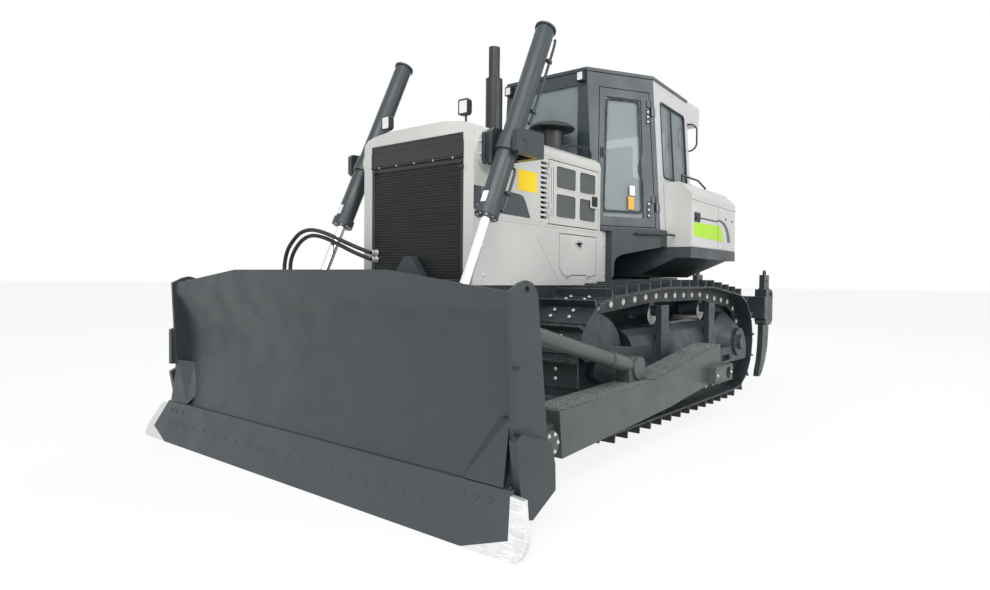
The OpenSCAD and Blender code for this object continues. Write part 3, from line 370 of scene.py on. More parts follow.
class Tree:
    """Short names for the nodes of one material."""

    def __init__(self, name):
        self.mat = bpy.data.materials.new(name)
        self.mat.use_nodes = True
        self.tree = self.mat.node_tree
        self.shader = self.tree.nodes["Principled BSDF"]
        self.coord = self.tree.nodes.new("ShaderNodeTexCoord")

    def link(self, a, b):
        self.tree.links.new(a, b)

    def add(self, kind, **values):
        node = self.tree.nodes.new("ShaderNode" + kind)
        for key, value in values.items():
            setattr(node, key, value)
        return node

    def mapped(self, stretch):
        if not stretch:
            return self.coord.outputs["Object"]
        place = self.add("Mapping")
        place.inputs["Scale"].default_value = stretch
        self.link(self.coord.outputs["Object"], place.inputs["Vector"])
        return place.outputs["Vector"]

    def noise(self, scale, detail=3.0, rough=0.5, stretch=None):
        node = self.add("TexNoise")
        node.inputs["Scale"].default_value = scale
        node.inputs["Detail"].default_value = detail
        node.inputs["Roughness"].default_value = rough
        self.link(self.mapped(stretch), node.inputs["Vector"])
        return node.outputs["Fac"]

    def cells(self, scale, stretch=None):
        node = self.add("TexVoronoi", feature="F1")
        node.inputs["Scale"].default_value = scale
        self.link(self.mapped(stretch), node.inputs["Vector"])
        return node.outputs["Distance"]

    def ramp(self, source, low, high, a=0.0, b=1.0):
        node = self.add("MapRange")
        node.interpolation_type = "SMOOTHSTEP"
        for slot, value in (("From Min", low), ("From Max", high), ("To Min", a), ("To Max", b)):
            node.inputs[slot].default_value = value
        self.link(source, node.inputs["Value"])
        return node.outputs["Result"]

    def math(self, kind, a, b):
        node = self.add("Math", operation=kind)
        for slot, value in ((0, a), (1, b)):
            if isinstance(value, (int, float)):
                node.inputs[slot].default_value = value
            else:
                self.link(value, node.inputs[slot])
        return node.outputs[0]

    def mix(self, factor, a, b):
        node = self.add("Mix", data_type="RGBA")
        if isinstance(factor, (int, float)):
            node.inputs["Factor"].default_value = factor
        else:
            self.link(factor, node.inputs["Factor"])
        for slot, value in ((6, a), (7, b)):
            if isinstance(value, (tuple, list)):
                node.inputs[slot].default_value = (*value[:3], 1)
            else:
                self.link(value, node.inputs[slot])
        return node.outputs[2]

    def part(self, output, axis):
        split = self.add("SeparateXYZ")
        self.link(self.coord.outputs[output], split.inputs[0])
        return split.outputs[axis]

    def edge(self, radius, low=0.02, high=0.25):
        """1 on sharp edges, 0 on flat faces."""
        bevel = self.add("Bevel", samples=4)
        bevel.inputs["Radius"].default_value = radius
        flat = self.add("NewGeometry")
        dot = self.add("VectorMath", operation="DOT_PRODUCT")
        self.link(bevel.outputs[0], dot.inputs[0])
        self.link(flat.outputs["Normal"], dot.inputs[1])
        away = self.math("SUBTRACT", 1.0, dot.outputs["Value"])
        return self.ramp(away, low, high)

    def surface(self, height, strength, distance, radius=0.0):
        """Bump over an edge rounded by radius."""
        bump = self.add("Bump")
        bump.inputs["Strength"].default_value = strength
        bump.inputs["Distance"].default_value = distance
        self.link(height, bump.inputs["Height"])
        if radius:
            bevel = self.add("Bevel", samples=4)
            bevel.inputs["Radius"].default_value = radius
            self.link(bevel.outputs[0], bump.inputs["Normal"])
        self.link(bump.outputs[0], self.shader.inputs["Normal"])

    def finish(self, colour, rough=None):
        self.link(colour, self.shader.inputs["Base Color"])
        if rough is not None:
            self.link(rough, self.shader.inputs["Roughness"])
        return self.mat


def tinted(colour, k):
    return tuple(min(1.0, c * k) for c in colour[:3])


def paint(name, colour, rough=0.42, dust=0.12, wear=0.35, round_by=0.004, coat=0.0, worn=None,
          extra=None):
    """Sprayed paint: patchy tint, orange peel, dust on top faces and rubbed edges."""
    t = Tree(name)
    base = t.mix(t.ramp(t.noise(1.3, 4), 0.3, 0.7), tinted(colour, 0.92), tinted(colour, 1.06))
    if extra:
        base = extra(t, base)
    grain = t.noise(26, 5, 0.6)
    speck = t.ramp(grain, 0.58, 0.8, 0, 0.22)
    base = t.mix(speck, base, tinted(colour, 1.25))
    top = t.ramp(t.part("Normal", "Z"), 0.5, 1.0)
    patch = t.ramp(t.noise(7, 6, 0.65), 0.35, 0.75)
    base = t.mix(t.math("MULTIPLY", t.math("MULTIPLY", top, patch), dust), base,
                 (0.42, 0.42, 0.39))
    if wear:
        rub = t.math("MULTIPLY", t.edge(0.006), t.ramp(t.noise(18, 6, 0.7), 0.42, 0.66))
        base = t.mix(t.math("MULTIPLY", rub, wear), base, worn or tinted(colour, 2.0))
    peel = t.noise(420, 2)
    t.surface(t.math("ADD", t.math("MULTIPLY", peel, 0.5), grain), 0.10, 0.0012, round_by)
    t.shader.inputs["Coat Weight"].default_value = coat
    t.shader.inputs["Coat Roughness"].default_value = 0.2
    return t.finish(base, t.ramp(t.noise(5, 5), 0.3, 0.7, rough - 0.07, rough + 0.09))


def cast(name, colour, rough=0.55, light=(0.16, 0.17, 0.17)):
    """Painted casting: rough skin, brighter rubbed spots."""
    t = Tree(name)
    grain = t.noise(55, 6, 0.65)
    base = t.mix(t.ramp(t.noise(4, 5), 0.3, 0.7), tinted(colour, 0.75), tinted(colour, 1.25))
    base = t.mix(t.ramp(grain, 0.58, 0.78, 0, 0.4), base, light)
    rub = t.math("MULTIPLY", t.edge(0.008), t.ramp(t.noise(25, 6, 0.7), 0.4, 0.6))
    base = t.mix(t.math("MULTIPLY", rub, 0.7), base, tinted(light, 1.9))
    t.surface(t.math("ADD", grain, t.noise(200, 3)), 0.35, 0.002, 0.004)
    return t.finish(base, t.ramp(t.noise(9, 5), 0.3, 0.7, rough - 0.1, rough + 0.12))


def steel(name, colour=(0.62, 0.63, 0.63), rough=0.32, scratch=(2, 90, 2), metal=0.85):
    """Bare ground steel with scratches."""
    t = Tree(name)
    t.shader.inputs["Metallic"].default_value = metal
    lines = t.noise(6, 6, 0.7, scratch)
    base = t.mix(t.ramp(lines, 0.35, 0.65), tinted(colour, 0.8), tinted(colour, 1.12))
    base = t.mix(t.ramp(t.noise(14, 5, 0.7), 0.55, 0.75, 0, 0.5), base, tinted(colour, 0.55))
    t.surface(lines, 0.2, 0.001, 0.003)
    return t.finish(base, t.ramp(t.noise(20, 5), 0.3, 0.7, rough - 0.08, rough + 0.15))


def chrome(name):
    t = Tree(name)
    t.shader.inputs["Metallic"].default_value = 1.0
    base = t.mix(t.ramp(t.noise(3, 4), 0.3, 0.7), (0.80, 0.82, 0.84), (0.90, 0.92, 0.93))
    t.surface(t.noise(300, 2), 0.02, 0.0004)
    return t.finish(base, t.ramp(t.noise(30, 4), 0.3, 0.7, 0.12, 0.24))


def rubber(name, colour=(0.018, 0.018, 0.019), rough=0.6, grain=260):
    t = Tree(name)
    base = t.mix(t.ramp(t.noise(12, 5), 0.3, 0.7), tinted(colour, 0.7), tinted(colour, 1.5))
    t.surface(t.noise(grain, 3), 0.25, 0.0008, 0.002)
    return t.finish(base, t.ramp(t.noise(9, 4), 0.3, 0.7, rough - 0.1, rough + 0.1))


def braid(name):
    """Woven sleeve of a hose."""
    t = Tree(name)
    weave = t.cells(190, (1.0, 0.6, 1.0))
    base = t.mix(t.ramp(weave, 0.15, 0.55), (0.055, 0.050, 0.048), (0.012, 0.012, 0.013))
    t.surface(weave, 0.6, 0.0012)
    return t.finish(base, t.ramp(t.noise(12, 4), 0.3, 0.7, 0.55, 0.75))


def glass(name, tint=(0.30, 0.36, 0.38), alpha=0.42):
    """Cab glass with a light film."""
    t = Tree(name)
    base = t.mix(t.ramp(t.noise(2.5, 4), 0.3, 0.7), tint, tinted(tint, 1.15))
    t.shader.inputs["Alpha"].default_value = alpha
    t.shader.inputs["IOR"].default_value = 1.5
    t.surface(t.noise(1.2, 2), 0.02, 0.002)
    return t.finish(base, t.ramp(t.noise(6, 4), 0.35, 0.65, 0.03, 0.09))


def lens(name):
    """Ribbed lamp glass over a bright reflector."""
    t = Tree(name)
    ribs = t.add("TexWave", wave_type="BANDS", bands_direction="X")
    ribs.inputs["Scale"].default_value = 28
    t.link(t.coord.outputs["Object"], ribs.inputs["Vector"])
    base = t.mix(t.ramp(ribs.outputs["Fac"], 0.2, 0.8), (0.50, 0.53, 0.55), (0.82, 0.84, 0.85))
    t.shader.inputs["Coat Weight"].default_value = 0.8
    t.surface(ribs.outputs["Fac"], 0.4, 0.002)
    return t.finish(base, t.ramp(t.noise(30, 3), 0.3, 0.7, 0.14, 0.26))


def anti_slip(name, colour):
    """Gritted walkway coating: bright worn grains on a dark ground."""
    t = Tree(name)
    grains = t.cells(95)
    worn = t.ramp(t.noise(2.2, 5, 0.6), 0.35, 0.6)
    spots = t.math("MULTIPLY", t.ramp(grains, 0.38, 0.22), t.ramp(worn, 0.0, 1.0, 0.55, 1.0))
    base = t.mix(t.ramp(t.noise(3, 4), 0.3, 0.7), tinted(colour, 0.85), tinted(colour, 1.2))
    base = t.mix(spots, base, (0.62, 0.64, 0.63))
    t.surface(t.math("SUBTRACT", 1.0, grains), 0.8, 0.003)
    return t.finish(base, t.ramp(grains, 0.1, 0.6, 0.35, 0.7))


def sideways_painted_reflection(t, base):
    """Painted reflection: the cab's faces turned straight sideways, the side walls behind the
    doors, are made light grey.
    """
    side = t.math("ABSOLUTE", t.part("Normal", "X"), 0.0)
    return t.mix(t.ramp(side, 0.955, 0.97), base, (0.50, 0.51, 0.50))


DARK = paint("dark_paint", (0.026, 0.036, 0.041), 0.38)
BLADE = paint("blade_paint", (0.026, 0.034, 0.037), 0.42, dust=0.04, wear=0.25)
EDGE = paint("edge_paint", (0.032, 0.041, 0.046), 0.45, dust=0.03, wear=0.3)
ARM = paint("arm_paint", (0.062, 0.073, 0.070), 0.42)
BLACK = paint("black_paint", (0.010, 0.012, 0.014), 0.36, wear=0.15)
# The cab shell's sideways faces carry a painted reflection in light grey.
CAB = paint("cab_paint", (0.024, 0.036, 0.044), 0.33, dust=0.06, coat=0.2, extra=sideways_painted_reflection)
CABIN = paint("cab_door_paint", (0.024, 0.036, 0.044), 0.33, dust=0.06, coat=0.2)
GREY = paint("grey_paint", (0.52, 0.52, 0.495), 0.36, dust=0.08, wear=0.0, coat=0.15)
LIME = paint("lime_paint", (0.36, 0.66, 0.0), 0.35, dust=0.03, wear=0.0)
YELLOW = paint("yellow_plate", (0.86, 0.60, 0.0), 0.4, dust=0.03, wear=0.0)
ORANGE = paint("orange_plate", (0.72, 0.36, 0.03), 0.4, dust=0.03, wear=0.0)
WHITE = paint("white_plate", (0.72, 0.74, 0.74), 0.4, dust=0.03, wear=0.0)
BAND = paint("band_dark", (0.030, 0.042, 0.048), 0.34, dust=0.03, wear=0.0, coat=0.2)
SEAM = rubber("seam_black", (0.010, 0.010, 0.011), 0.7)
TRACK = cast("track_steel", (0.016, 0.022, 0.025), 0.5)
CAST = cast("cast_paint", (0.026, 0.036, 0.041), 0.45, (0.08, 0.10, 0.11))
ENGINE = cast("engine_iron", (0.03, 0.03, 0.03), 0.6)
STEEL = steel("bare_steel", (0.68, 0.69, 0.69), 0.4, metal=0.6)
SCREEN = steel("screen_steel", (0.17, 0.18, 0.18), 0.45, (40, 40, 40), 0.3)
CHROME = chrome("chrome")
RUBBER = rubber("rubber")
TRIM = rubber("cab_trim", (0.022, 0.024, 0.026), 0.65)
FABRIC = rubber("seat_fabric", (0.030, 0.032, 0.036), 0.85, 620)
SLEEVE = braid("hose_sleeve")
GLASS = glass("cab_glass")
LENS = lens("lamp_lens")
GRIT = anti_slip("anti_slip", (0.09, 0.10, 0.10))
RED = rubber("red_lens", (0.45, 0.02, 0.015), 0.25, 90)

FINISH = {
    "grille": BLACK, "hood_shell": GREY, "hood_sides": GREY, "stacks": BLACK,
    "engine_block": ENGINE, "cab_shell": CAB, "cab_roof": CABIN, "cab_glass": GLASS,
    "cab_door_left": CABIN, "cab_door_right": CABIN, "door_glass_left": GLASS,
    "door_glass_right": GLASS, "cab_inside": TRIM, "seat": FABRIC, "ac_unit": GREY,
    "side_tanks": GREY, "engine_door_left": GREY, "engine_door_right": GREY,
    "service_door_left": GREY, "service_door_right": GREY, "track_left": TRACK,
    "track_right": TRACK, "sprockets": TRACK, "idlers": CAST, "rollers": CAST,
    "final_drives": CAST, "track_frames": CAST, "lift_rods": CHROME, "ripper_rods": CHROME,
    "blade": BLADE, "cutting_edge": EDGE, "end_bits": STEEL, "push_arms": ARM, "braces": ARM,
    "ripper_shanks": DARK, "rails_lamps": BLACK, "hoses": RUBBER,
}

for name, node in NODES.items():
    mat = FINISH.get(name, DARK)
    if not node.data.materials:
        node.data.materials.append(mat)
    for slot in node.material_slots:
        slot.material = mat

# ---------------------------------------------------------------- places on the object


def plane(origin, u, v):
    """Local X along u, Y along v and Z out of the plane."""
    u, v = Vector(u), Vector(v)
    rows = Matrix((u, v, u.cross(v))).transposed().to_4x4()
    return Matrix.Translation(Vector(origin)) @ rows


def wall(turn, lean):
    """Outer face of a cab wall: X rearwards along it, Y up."""
    t, s = math.radians(turn), math.radians(lean)
    along = (math.cos(t), math.sin(t), 0)
    rise = (-math.sin(t) * math.sin(s), math.cos(t) * math.sin(s), math.cos(s))
    return plane((1005, 16, 1868), along, rise)


def side_at(x):
    return plane((x, 0, 0), (0, 1, 0), (0, 0, 1))


def front_at(y):
    return plane((0, y, 0), (1, 0, 0), (0, 0, 1))


def back_at(y):
    return plane((0, y, 0), (-1, 0, 0), (0, 0, 1))


def top_at(z):
    return Matrix.Translation(Vector((0, 0, z)))


def spot(x, y):
    """A shift within the plane it follows."""
    return Matrix.Translation(Vector((x, y, 0)))


def line_at(x, y, z, angle):
    return Matrix.Translation(Vector((x, y, z))) @ Matrix.Rotation(angle, 4, "X")


def across(place, normal):
    """Places a turned form on its axis."""
    return facing(place, normal, (0, 0, 1) if abs(Vector(normal).z) < 0.9 else (0, 1, 0))


DOOR_WALL = wall(math.degrees(math.atan2(615, 400)), math.degrees(math.atan(79.3 / 1561)))
REAR_WALL = wall(math.degrees(math.atan2(950, -60)), math.degrees(math.atan(105.8 / 1561)))
MIRROR = Matrix.Scale(-1, 4, (1, 0, 0))
SAME = Matrix.Identity(4)
SIDES = (("left", "l", SAME), ("right", "r", MIRROR))
HOOD_X = 640      # outer face of the hood side and its doors
TANK_X = 1280     # outer face of the side tank
TANK_TOP = 2368
HOOD_TRIM_Z = 2560    # height of the seam and the walkway over the hood
NOSE_Y = -2352    # front face of the header
TRUNNION = (840, -2185, 2340)     # pivot of the lift cylinder on the left
LIFT = (*TRUNNION, -math.atan2(635, 1440))

# ---------------------------------------------------------------- hoses to the tilt cylinder

HOSE_R = 17
NOSE_END = (-470, -2346)          # x and y where both hoses leave the nose
PORT_X = (-1437, -1393)
PORT_Y, PORT_Z = -2600, 1080      # top of the tilt cylinder's port block
HOSES = {
    "hose_upper": [
        (-470, -2346, 1560), (-470, -2395, 1560), (-476, -2440, 1568), (-600, -2530, 1630),
        (-760, -2590, 1700), (-900, -2605, 1740), (-1050, -2605, 1756), (-1180, -2605, 1735),
        (-1290, -2600, 1680), (-1380, -2600, 1600), (-1430, -2600, 1500), (-1445, -2600, 1380),
        (-1440, -2600, 1240), (-1437, -2600, 1150), (-1437, -2600, 1080.8)],
    "hose_lower": [
        (-470, -2346, 1505), (-470, -2390, 1505), (-476, -2430, 1512), (-600, -2500, 1570),
        (-760, -2555, 1645), (-900, -2570, 1690), (-1050, -2570, 1710), (-1170, -2570, 1690),
        (-1265, -2570, 1640), (-1345, -2570, 1565), (-1390, -2570, 1480), (-1402, -2570, 1370),
        (-1398, -2590, 1240), (-1393, -2600, 1150), (-1393, -2600, 1080.8)],
}
SLEEVE_FROM = -0.80               # metres: the braided sleeve is beyond this x


def make_hose(name, points):
    way = [p * MM for p in smooth_way(points)]
    kit = Kit(name, None, RUBBER, "rubber")
    del Kit.kits[name]
    kit.join([Vector(v) / MM for v in tube(way, HOSE_R * MM, 14)[0]], tube(way, 1, 14)[1])
    hose = kit.make()
    hose.data.materials.append(SLEEVE)
    for face in hose.data.polygons:
        face.material_index = 1 if face.center.x < SLEEVE_FROM else 0
    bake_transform(hose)
    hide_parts("hoses")


for hose_name, hose_points in HOSES.items():
    make_hose(hose_name, hose_points)

fitting = Kit("hose_ends", "chassis", STEEL, "bare_steel")
FITTING = [(27, 0), (27, 8), (21, 10), (21, 30), (23, 32), (23, 52), (19, 56)]
for z in (1560, 1505):
    at = across((*NOSE_END, z), FRONT)
    fitting.add(lathe(FITTING, 18), at)
    fitting.add(prism(ngon(26, 6), 8, 24), at)
ports = Kit("hose_ports", "blade_arms", STEEL, "bare_steel")
for x in PORT_X:
    at = across((x, PORT_Y, PORT_Z), UP)
    ports.add(lathe([(21, 0), (21, 6), (19, 8), (19, 60), (18, 64)], 18), at)
    ports.add(prism(ngon(21.5, 6), 6, 22), at)

# ---------------------------------------------------------------- grille and nose


def honeycomb(x0, x1, y0, y1, pitch, hole, thick):
    """Sheet with staggered six-sided holes, as one closed form."""
    rise = pitch * math.sqrt(3) / 2
    nx = int((x1 - x0) / pitch)
    ny = int((y1 - y0) / rise)
    ox = (x0 + x1 - (nx - 0.5) * pitch) / 2
    oy = (y0 + y1 - (ny - 1) * rise) / 2
    rim = [Vector((math.sin(math.pi * k / 3), math.cos(math.pi * k / 3))) for k in range(6)]
    bm = bmesh.new()
    for j in range(ny):
        for i in range(nx):
            c = Vector((ox + (i + 0.5 * (j % 2)) * pitch, oy + j * rise))
            out = [bm.verts.new((*(c + p * pitch / math.sqrt(3)), 0)) for p in rim]
            ins = [bm.verts.new((*(c + p * hole), 0)) for p in rim]
            for k in range(6):
                m = (k + 1) % 6
                bm.faces.new((out[m], out[k], ins[k], ins[m]))
    bmesh.ops.remove_doubles(bm, verts=bm.verts, dist=pitch * 0.01)
    grown = bmesh.ops.extrude_face_region(bm, geom=list(bm.faces))["geom"]
    for v in grown:
        if isinstance(v, bmesh.types.BMVert):
            v.co.z += thick
    bm.verts.index_update()
    form = ([tuple(v.co) for v in bm.verts], [tuple(v.index for v in f.verts) for f in bm.faces])
    bm.free()
    return form


GX, GZ0, GZ1 = 535.7, 1310, 2262  # half width, bottom and top of the grille
grid = Kit("grille_sheet", "chassis", BLACK, "black_paint")
grid.add(honeycomb(-GX + 26, GX - 26, GZ0 + 26, GZ1 - 26, 26.2, 10.6, 4), front_at(-2338))
grid.add(ring_form(rect(-GX, GX, GZ0, GZ1), rect(-GX + 34, GX - 34, GZ0 + 34, GZ1 - 34), 0, 20, 3),
         front_at(-2325))
grid.box(-GX, GX, NOSE_Y, -2260, GZ1, 2395.8)
grid.box(-530, 530, NOSE_Y, -2320.2, 2395.8, 2452)
grid.box(-GX, GX, -2358, -2350, GZ1 + 2, GZ1 + 14, chamfer=2)
grid.add(ring_form(rounded(rect(-526, 526, 2280, 2448), 14),
                   rounded(rect(-514, 514, 2292, 2436), 10), 0, 3, 1), front_at(NOSE_Y))
for x in (-500, 500):
    for z in (GZ0 + 18, 2232):
        grid.add(lathe([(17, 0), (17, 8), (13, 12), (0, 13)], 18), across((x, -2345, z), FRONT))
grid.add(lathe([(11, 0), (11, 22), (17, 24), (17, 34), (9, 38)], 16),
         across((GX - 8, -2345, 2190), FRONT))
core = Kit("radiator_core", "chassis", SEAM, "black_paint")
core.box(-GX, GX, -2325, -2262, 1320, GZ1)
for x in range(-500, 501, 26):
    core.box(x, x + 3, -2332, -2324, 1330, GZ1 - 8, chamfer=0.8)

# ---------------------------------------------------------------- plates and bands on the sides

for name, mat, form, place, slot in (
        ("warning_plate", YELLOW, prism(rounded(rect(-1827, -1572, 2075, 2245), 10), 0, 1.4, 0.5),
         side_at(HOOD_X), "grey_paint"),
        ("hood_band", BAND, prism([(-2249, 2048), (-1876, 2044), (-1800, 2040), (-1759, 2031),
                                   (-1725, 1990), (-1657, 1857), (-2249, 1869)], 0, 1.2, 0.5),
         side_at(HOOD_X), "dark_paint"),
        ("tank_lime", LIME,
         prism([(214, 1952), (214, 1814), (860, 1796), (860, 1962)], 0, 1.2, 0.4),
         side_at(TANK_X), "grey_paint")):
    Kit(name, "chassis", mat, slot).add(form, place, True)
Kit.kits["hood_band"].add(prism([(-2344, 2049), (-2256, 2048), (-2256, 1869), (-2344, 1871)],
                                0, 1.2, 0.5), side_at(HOOD_X), True)
Kit.kits["tank_lime"].add(prism([(868, 1963), (868, 1796), (1029, 1792), (1018, 1840), (990, 1900),
                                 (950, 1942), (905, 1962)], 0, 1.2, 0.4), side_at(TANK_X), True)
Kit.kits["warning_plate"].add(prism(rounded(rect(-1822, -1577, 2156, 2159), 1), 1.4, 1.7),
                              side_at(HOOD_X), True)
bands = Kit("tank_bands", "chassis", BAND, "dark_paint")
bands.add(prism(rect(374, 860, 1997, 2016), 0, 1.2, 0.4), side_at(TANK_X), True)
bands.add(prism([(868, 2014), (905, 2012), (1000, 1990), (1080, 1945), (1126, 1890), (1155, 1797),
                 (1250, 1797), (1215, 1890), (1150, 1968), (1060, 2012), (960, 2034), (868, 2036)],
                0, 1.2, 0.4), side_at(TANK_X), True)
latch = Kit("tank_latches", "chassis", BLACK, "black_paint")
latch.add(prism(rounded(rect(220, 372, 1958, 2058), 16), 0, 5, 2), side_at(TANK_X), True)
latch.add(ring_form(rounded(rect(238, 354, 1974, 2042), 12), rounded(rect(246, 346, 1982, 2034), 9),
                    5, 9, 1.5), side_at(TANK_X), True)
latch.add(prism(rounded(rect(270, 326, 1990, 2026), 8), 5, 14, 3), side_at(TANK_X), True)
for y, z in ((1090, 2050), (1290, 2042)):
    latch.add(lathe([(12, 0), (12, 5), (9, 8)], 14), side_at(TANK_X) @ spot(y, z), True)
seams = Kit("panel_seams", "chassis", SEAM, "black_paint")
for a, b, x in (((864, 2165), (864, 1716), TANK_X), ((160, 2180), (1394, 2164), TANK_X)):
    d = (Vector(b) - Vector(a)).normalized() * 2
    w = Vector((d.y, -d.x))
    seams.add(prism([tuple(Vector(a) + w), tuple(Vector(b) + w), tuple(Vector(b) - w),
                     tuple(Vector(a) - w)], 0, 0.7), side_at(x), True)
seams.add(prism(rect(-556, 556, -1.5, 1.5), 0, 0.6), top_at(HOOD_TRIM_Z) @ spot(0, -1450))
folds = Kit("panel_folds", "chassis", GREY, "grey_paint")
a, b = Vector((-1587, 1730)), Vector((-1240, 1330))
w = Vector((b.y - a.y, a.x - b.x)).normalized()
folds.add(prism([tuple(a + w * 5), tuple(b + w * 5), tuple(b - w * 5), tuple(a - w * 5)],
                0, 1.6, 1.2), side_at(HOOD_X), True)
for y, z in ((-2240, 1806), (-1530, 2412)):
    folds.add(prism(rect(y, -570, z, z + 6), 0, 1.5, 1), side_at(HOOD_X), True)
BOSS = (-2185, 2330)              # y and z of the boss that carries the lift cylinder
BOSS_T = 22
folds.add(ring_form(ngon(152, 40, 0, BOSS), ngon(140, 40, 0, BOSS), 0, 4, 1.5),
          side_at(HOOD_X + BOSS_T), True)

grey_bolts = Kit("hood_bolts", "chassis", STEEL, "grey_paint")
for y, z in ((-1508, 2392), (-1423, 2392), (-1522, 1846), (-1424, 1846), (-489, 1682),
             (-482, 1411), (-2230, 1380), (-2230, 1600), (-1900, 1340), (-1500, 1340), (-700, 1340),
             (-2300, 2330), (-2300, 1500), (-2300, 1900)):
    grey_bolts.bolts([(HOOD_X, y, z)], LEFT, 9, both=True)
for y, z in ((185, 1743), (969, 1731), (1370, 1743), (185, 2200), (1370, 2190)):
    grey_bolts.bolts([(TANK_X, y, z)], LEFT, 12, both=True)
for k in range(8):
    t = 2 * math.pi * (k + 0.5) / 8
    grey_bolts.bolts([(HOOD_X + BOSS_T, BOSS[0] + 126 * math.cos(t), BOSS[1] + 126 * math.sin(t))],
                     LEFT, 11, both=True)
for x in (-430, -215, 0, 215, 430):
    grey_bolts.bolts([(x, NOSE_Y, 2269)], FRONT, 7)

# Filler caps, lids and strips on the tanks and the hood
caps = Kit("filler_caps", "chassis", BLACK, "black_paint")
for x, y, r in ((1000, 640, 62), (-1000, 640, 62), (-1000, 1120, 46)):
    caps.add(lathe([(r + 8, 0), (r + 8, 8), (r, 10), (r, 30), (r - 6, 36), (r - 24, 38)], 28),
             top_at(TANK_TOP) @ spot(x, y))
    for k in range(6):
        t = math.pi * k / 3
        caps.box(x + r * math.cos(t) - 7, x + r * math.cos(t) + 7, y + r * math.sin(t) - 7,
                 y + r * math.sin(t) + 7, 2376, 2400)
grip = Kit("walkways", "chassis", GRIT, "dark_paint")
grip.add(prism(rounded(rect(905, 1120, 190, 380), 12), 0, 2, 0.8), top_at(TANK_TOP), True)
grip.add(prism(rounded(rect(905, 1040, 720, 1360), 12), 0, 2, 0.8), top_at(TANK_TOP), True)
grip.add(prism([(652, -520), (996, 4), (996, 120), (870, 120), (700, -330)], 0, 2, 0.8),
         top_at(1868), True)
grip.add(prism(rect(-420, 420, -1180, -640), 0, 2, 0.8), top_at(HOOD_TRIM_Z))

# ---------------------------------------------------------------- engine and service doors

for long, short, flip in SIDES:
    outer = flip @ side_at(HOOD_X)
    screen = Kit(f"door_screens_{long}", f"engine_door_{short}", SCREEN, "grey_paint")
    frames = Kit(f"door_frames_{long}", f"engine_door_{short}", GREY, "grey_paint")
    dark = Kit(f"door_latch_and_shade_sheet_{long}", f"engine_door_{short}", BLACK, "black_paint")
    for y0, y1, z0, z1 in ((-1303, -973, 2150, 2362), (-933, -635, 2150, 2362),
                           (-1303, -973, 1893, 2118), (-933, -635, 1893, 2118)):
        screen.add(honeycomb(y0 + 2, y1 - 2, z0 + 2, z1 - 2, 15, 5.4, 2), flip @ side_at(629))
        # Black sheet behind each screen: painted shade, standing for the dark inside of the hood
        # seen through the holes.
        dark.add(prism(rect(y0, y1, z0, z1), 0, 1.5), flip @ side_at(626.2))
        frames.add(ring_form(rounded(rect(y0 - 2, y1 + 2, z0 - 2, z1 + 2), 8),
                             rounded(rect(y0 + 12, y1 - 12, z0 + 12, z1 - 12), 30), -8, 2, 1.5),
                   outer)
    frames.add(ring_form(rounded(rect(-742, -601, 2034, 2166), 18),
                         rounded(rect(-724, -616, 2052, 2148), 12), 0, 9, 3), outer)
    dark.add(prism(rounded(rect(-726, -614, 2050, 2150), 12), 0, 4, 1), outer)
    dark.add(prism(rounded(rect(-700, -640, 2070, 2132), 10), 4, 12, 3), outer)
    dark.add(lathe([(9, 12), (9, 18), (5, 20)], 12), outer @ spot(-670, 2112))
    for y in (-1372, -1340):
        dark.add(prism(rect(y, y + 5, 1900, 2330), 0, 0.8), outer)
    small = Kit(f"door_bolts_{long}", f"engine_door_{short}", STEEL, "bare_steel")
    for y, z in ((-1356, 2360), (-1356, 2130), (-1356, 1875), (-953, 2376), (-953, 2134),
                 (-953, 1866), (-620, 2376), (-620, 1866)):
        small.add(lathe([(7, 0), (7, 3), (4, 5)], 10), outer @ spot(y, z))
    t_latch = Kit(f"service_latch_{long}", f"service_door_{short}", BLACK, "black_paint")
    t_latch.add(lathe([(24, 0), (24, 5), (18, 8), (11, 9), (11, 20), (7, 24)], 18),
                outer @ spot(-932, 1690))
    t_latch.add(prism(rounded(rect(-962, -902, 1680, 1696), 7), 18, 30, 4), outer)
    t_latch.add(prism(rounded(rect(-940, -924, 1650, 1690), 6), 18, 28, 4), outer)
    s_bolts = Kit(f"service_bolts_{long}", f"service_door_{short}", STEEL, "bare_steel")
    for y, z in ((-1208, 1732), (-658, 1732), (-660, 1424), (-1160, 1424)):
        s_bolts.add(lathe([(8, 0), (8, 3), (5, 5)], 10), outer @ spot(y, z))

# ---------------------------------------------------------------- tracks

# Chain rounds of idler, sprocket and carrier rollers: y, z and radius
CIRCLES = [(-1330, 648, 480), (1540, 640, 480), (800, 1065, 141), (-360, 1065, 141)]
SHOES = 41
TRACK_X = 1000
LINK_X = 112      # outer face of the links, from the middle of the track
BOLT_B = 104      # foot of the shoe bolts, outwards from the pin line


def strand(a, b):
    dx, dy = b[0] - a[0], b[1] - a[1]
    return math.atan2(dy, dx) - math.acos((a[2] - b[2]) / math.hypot(dx, dy))


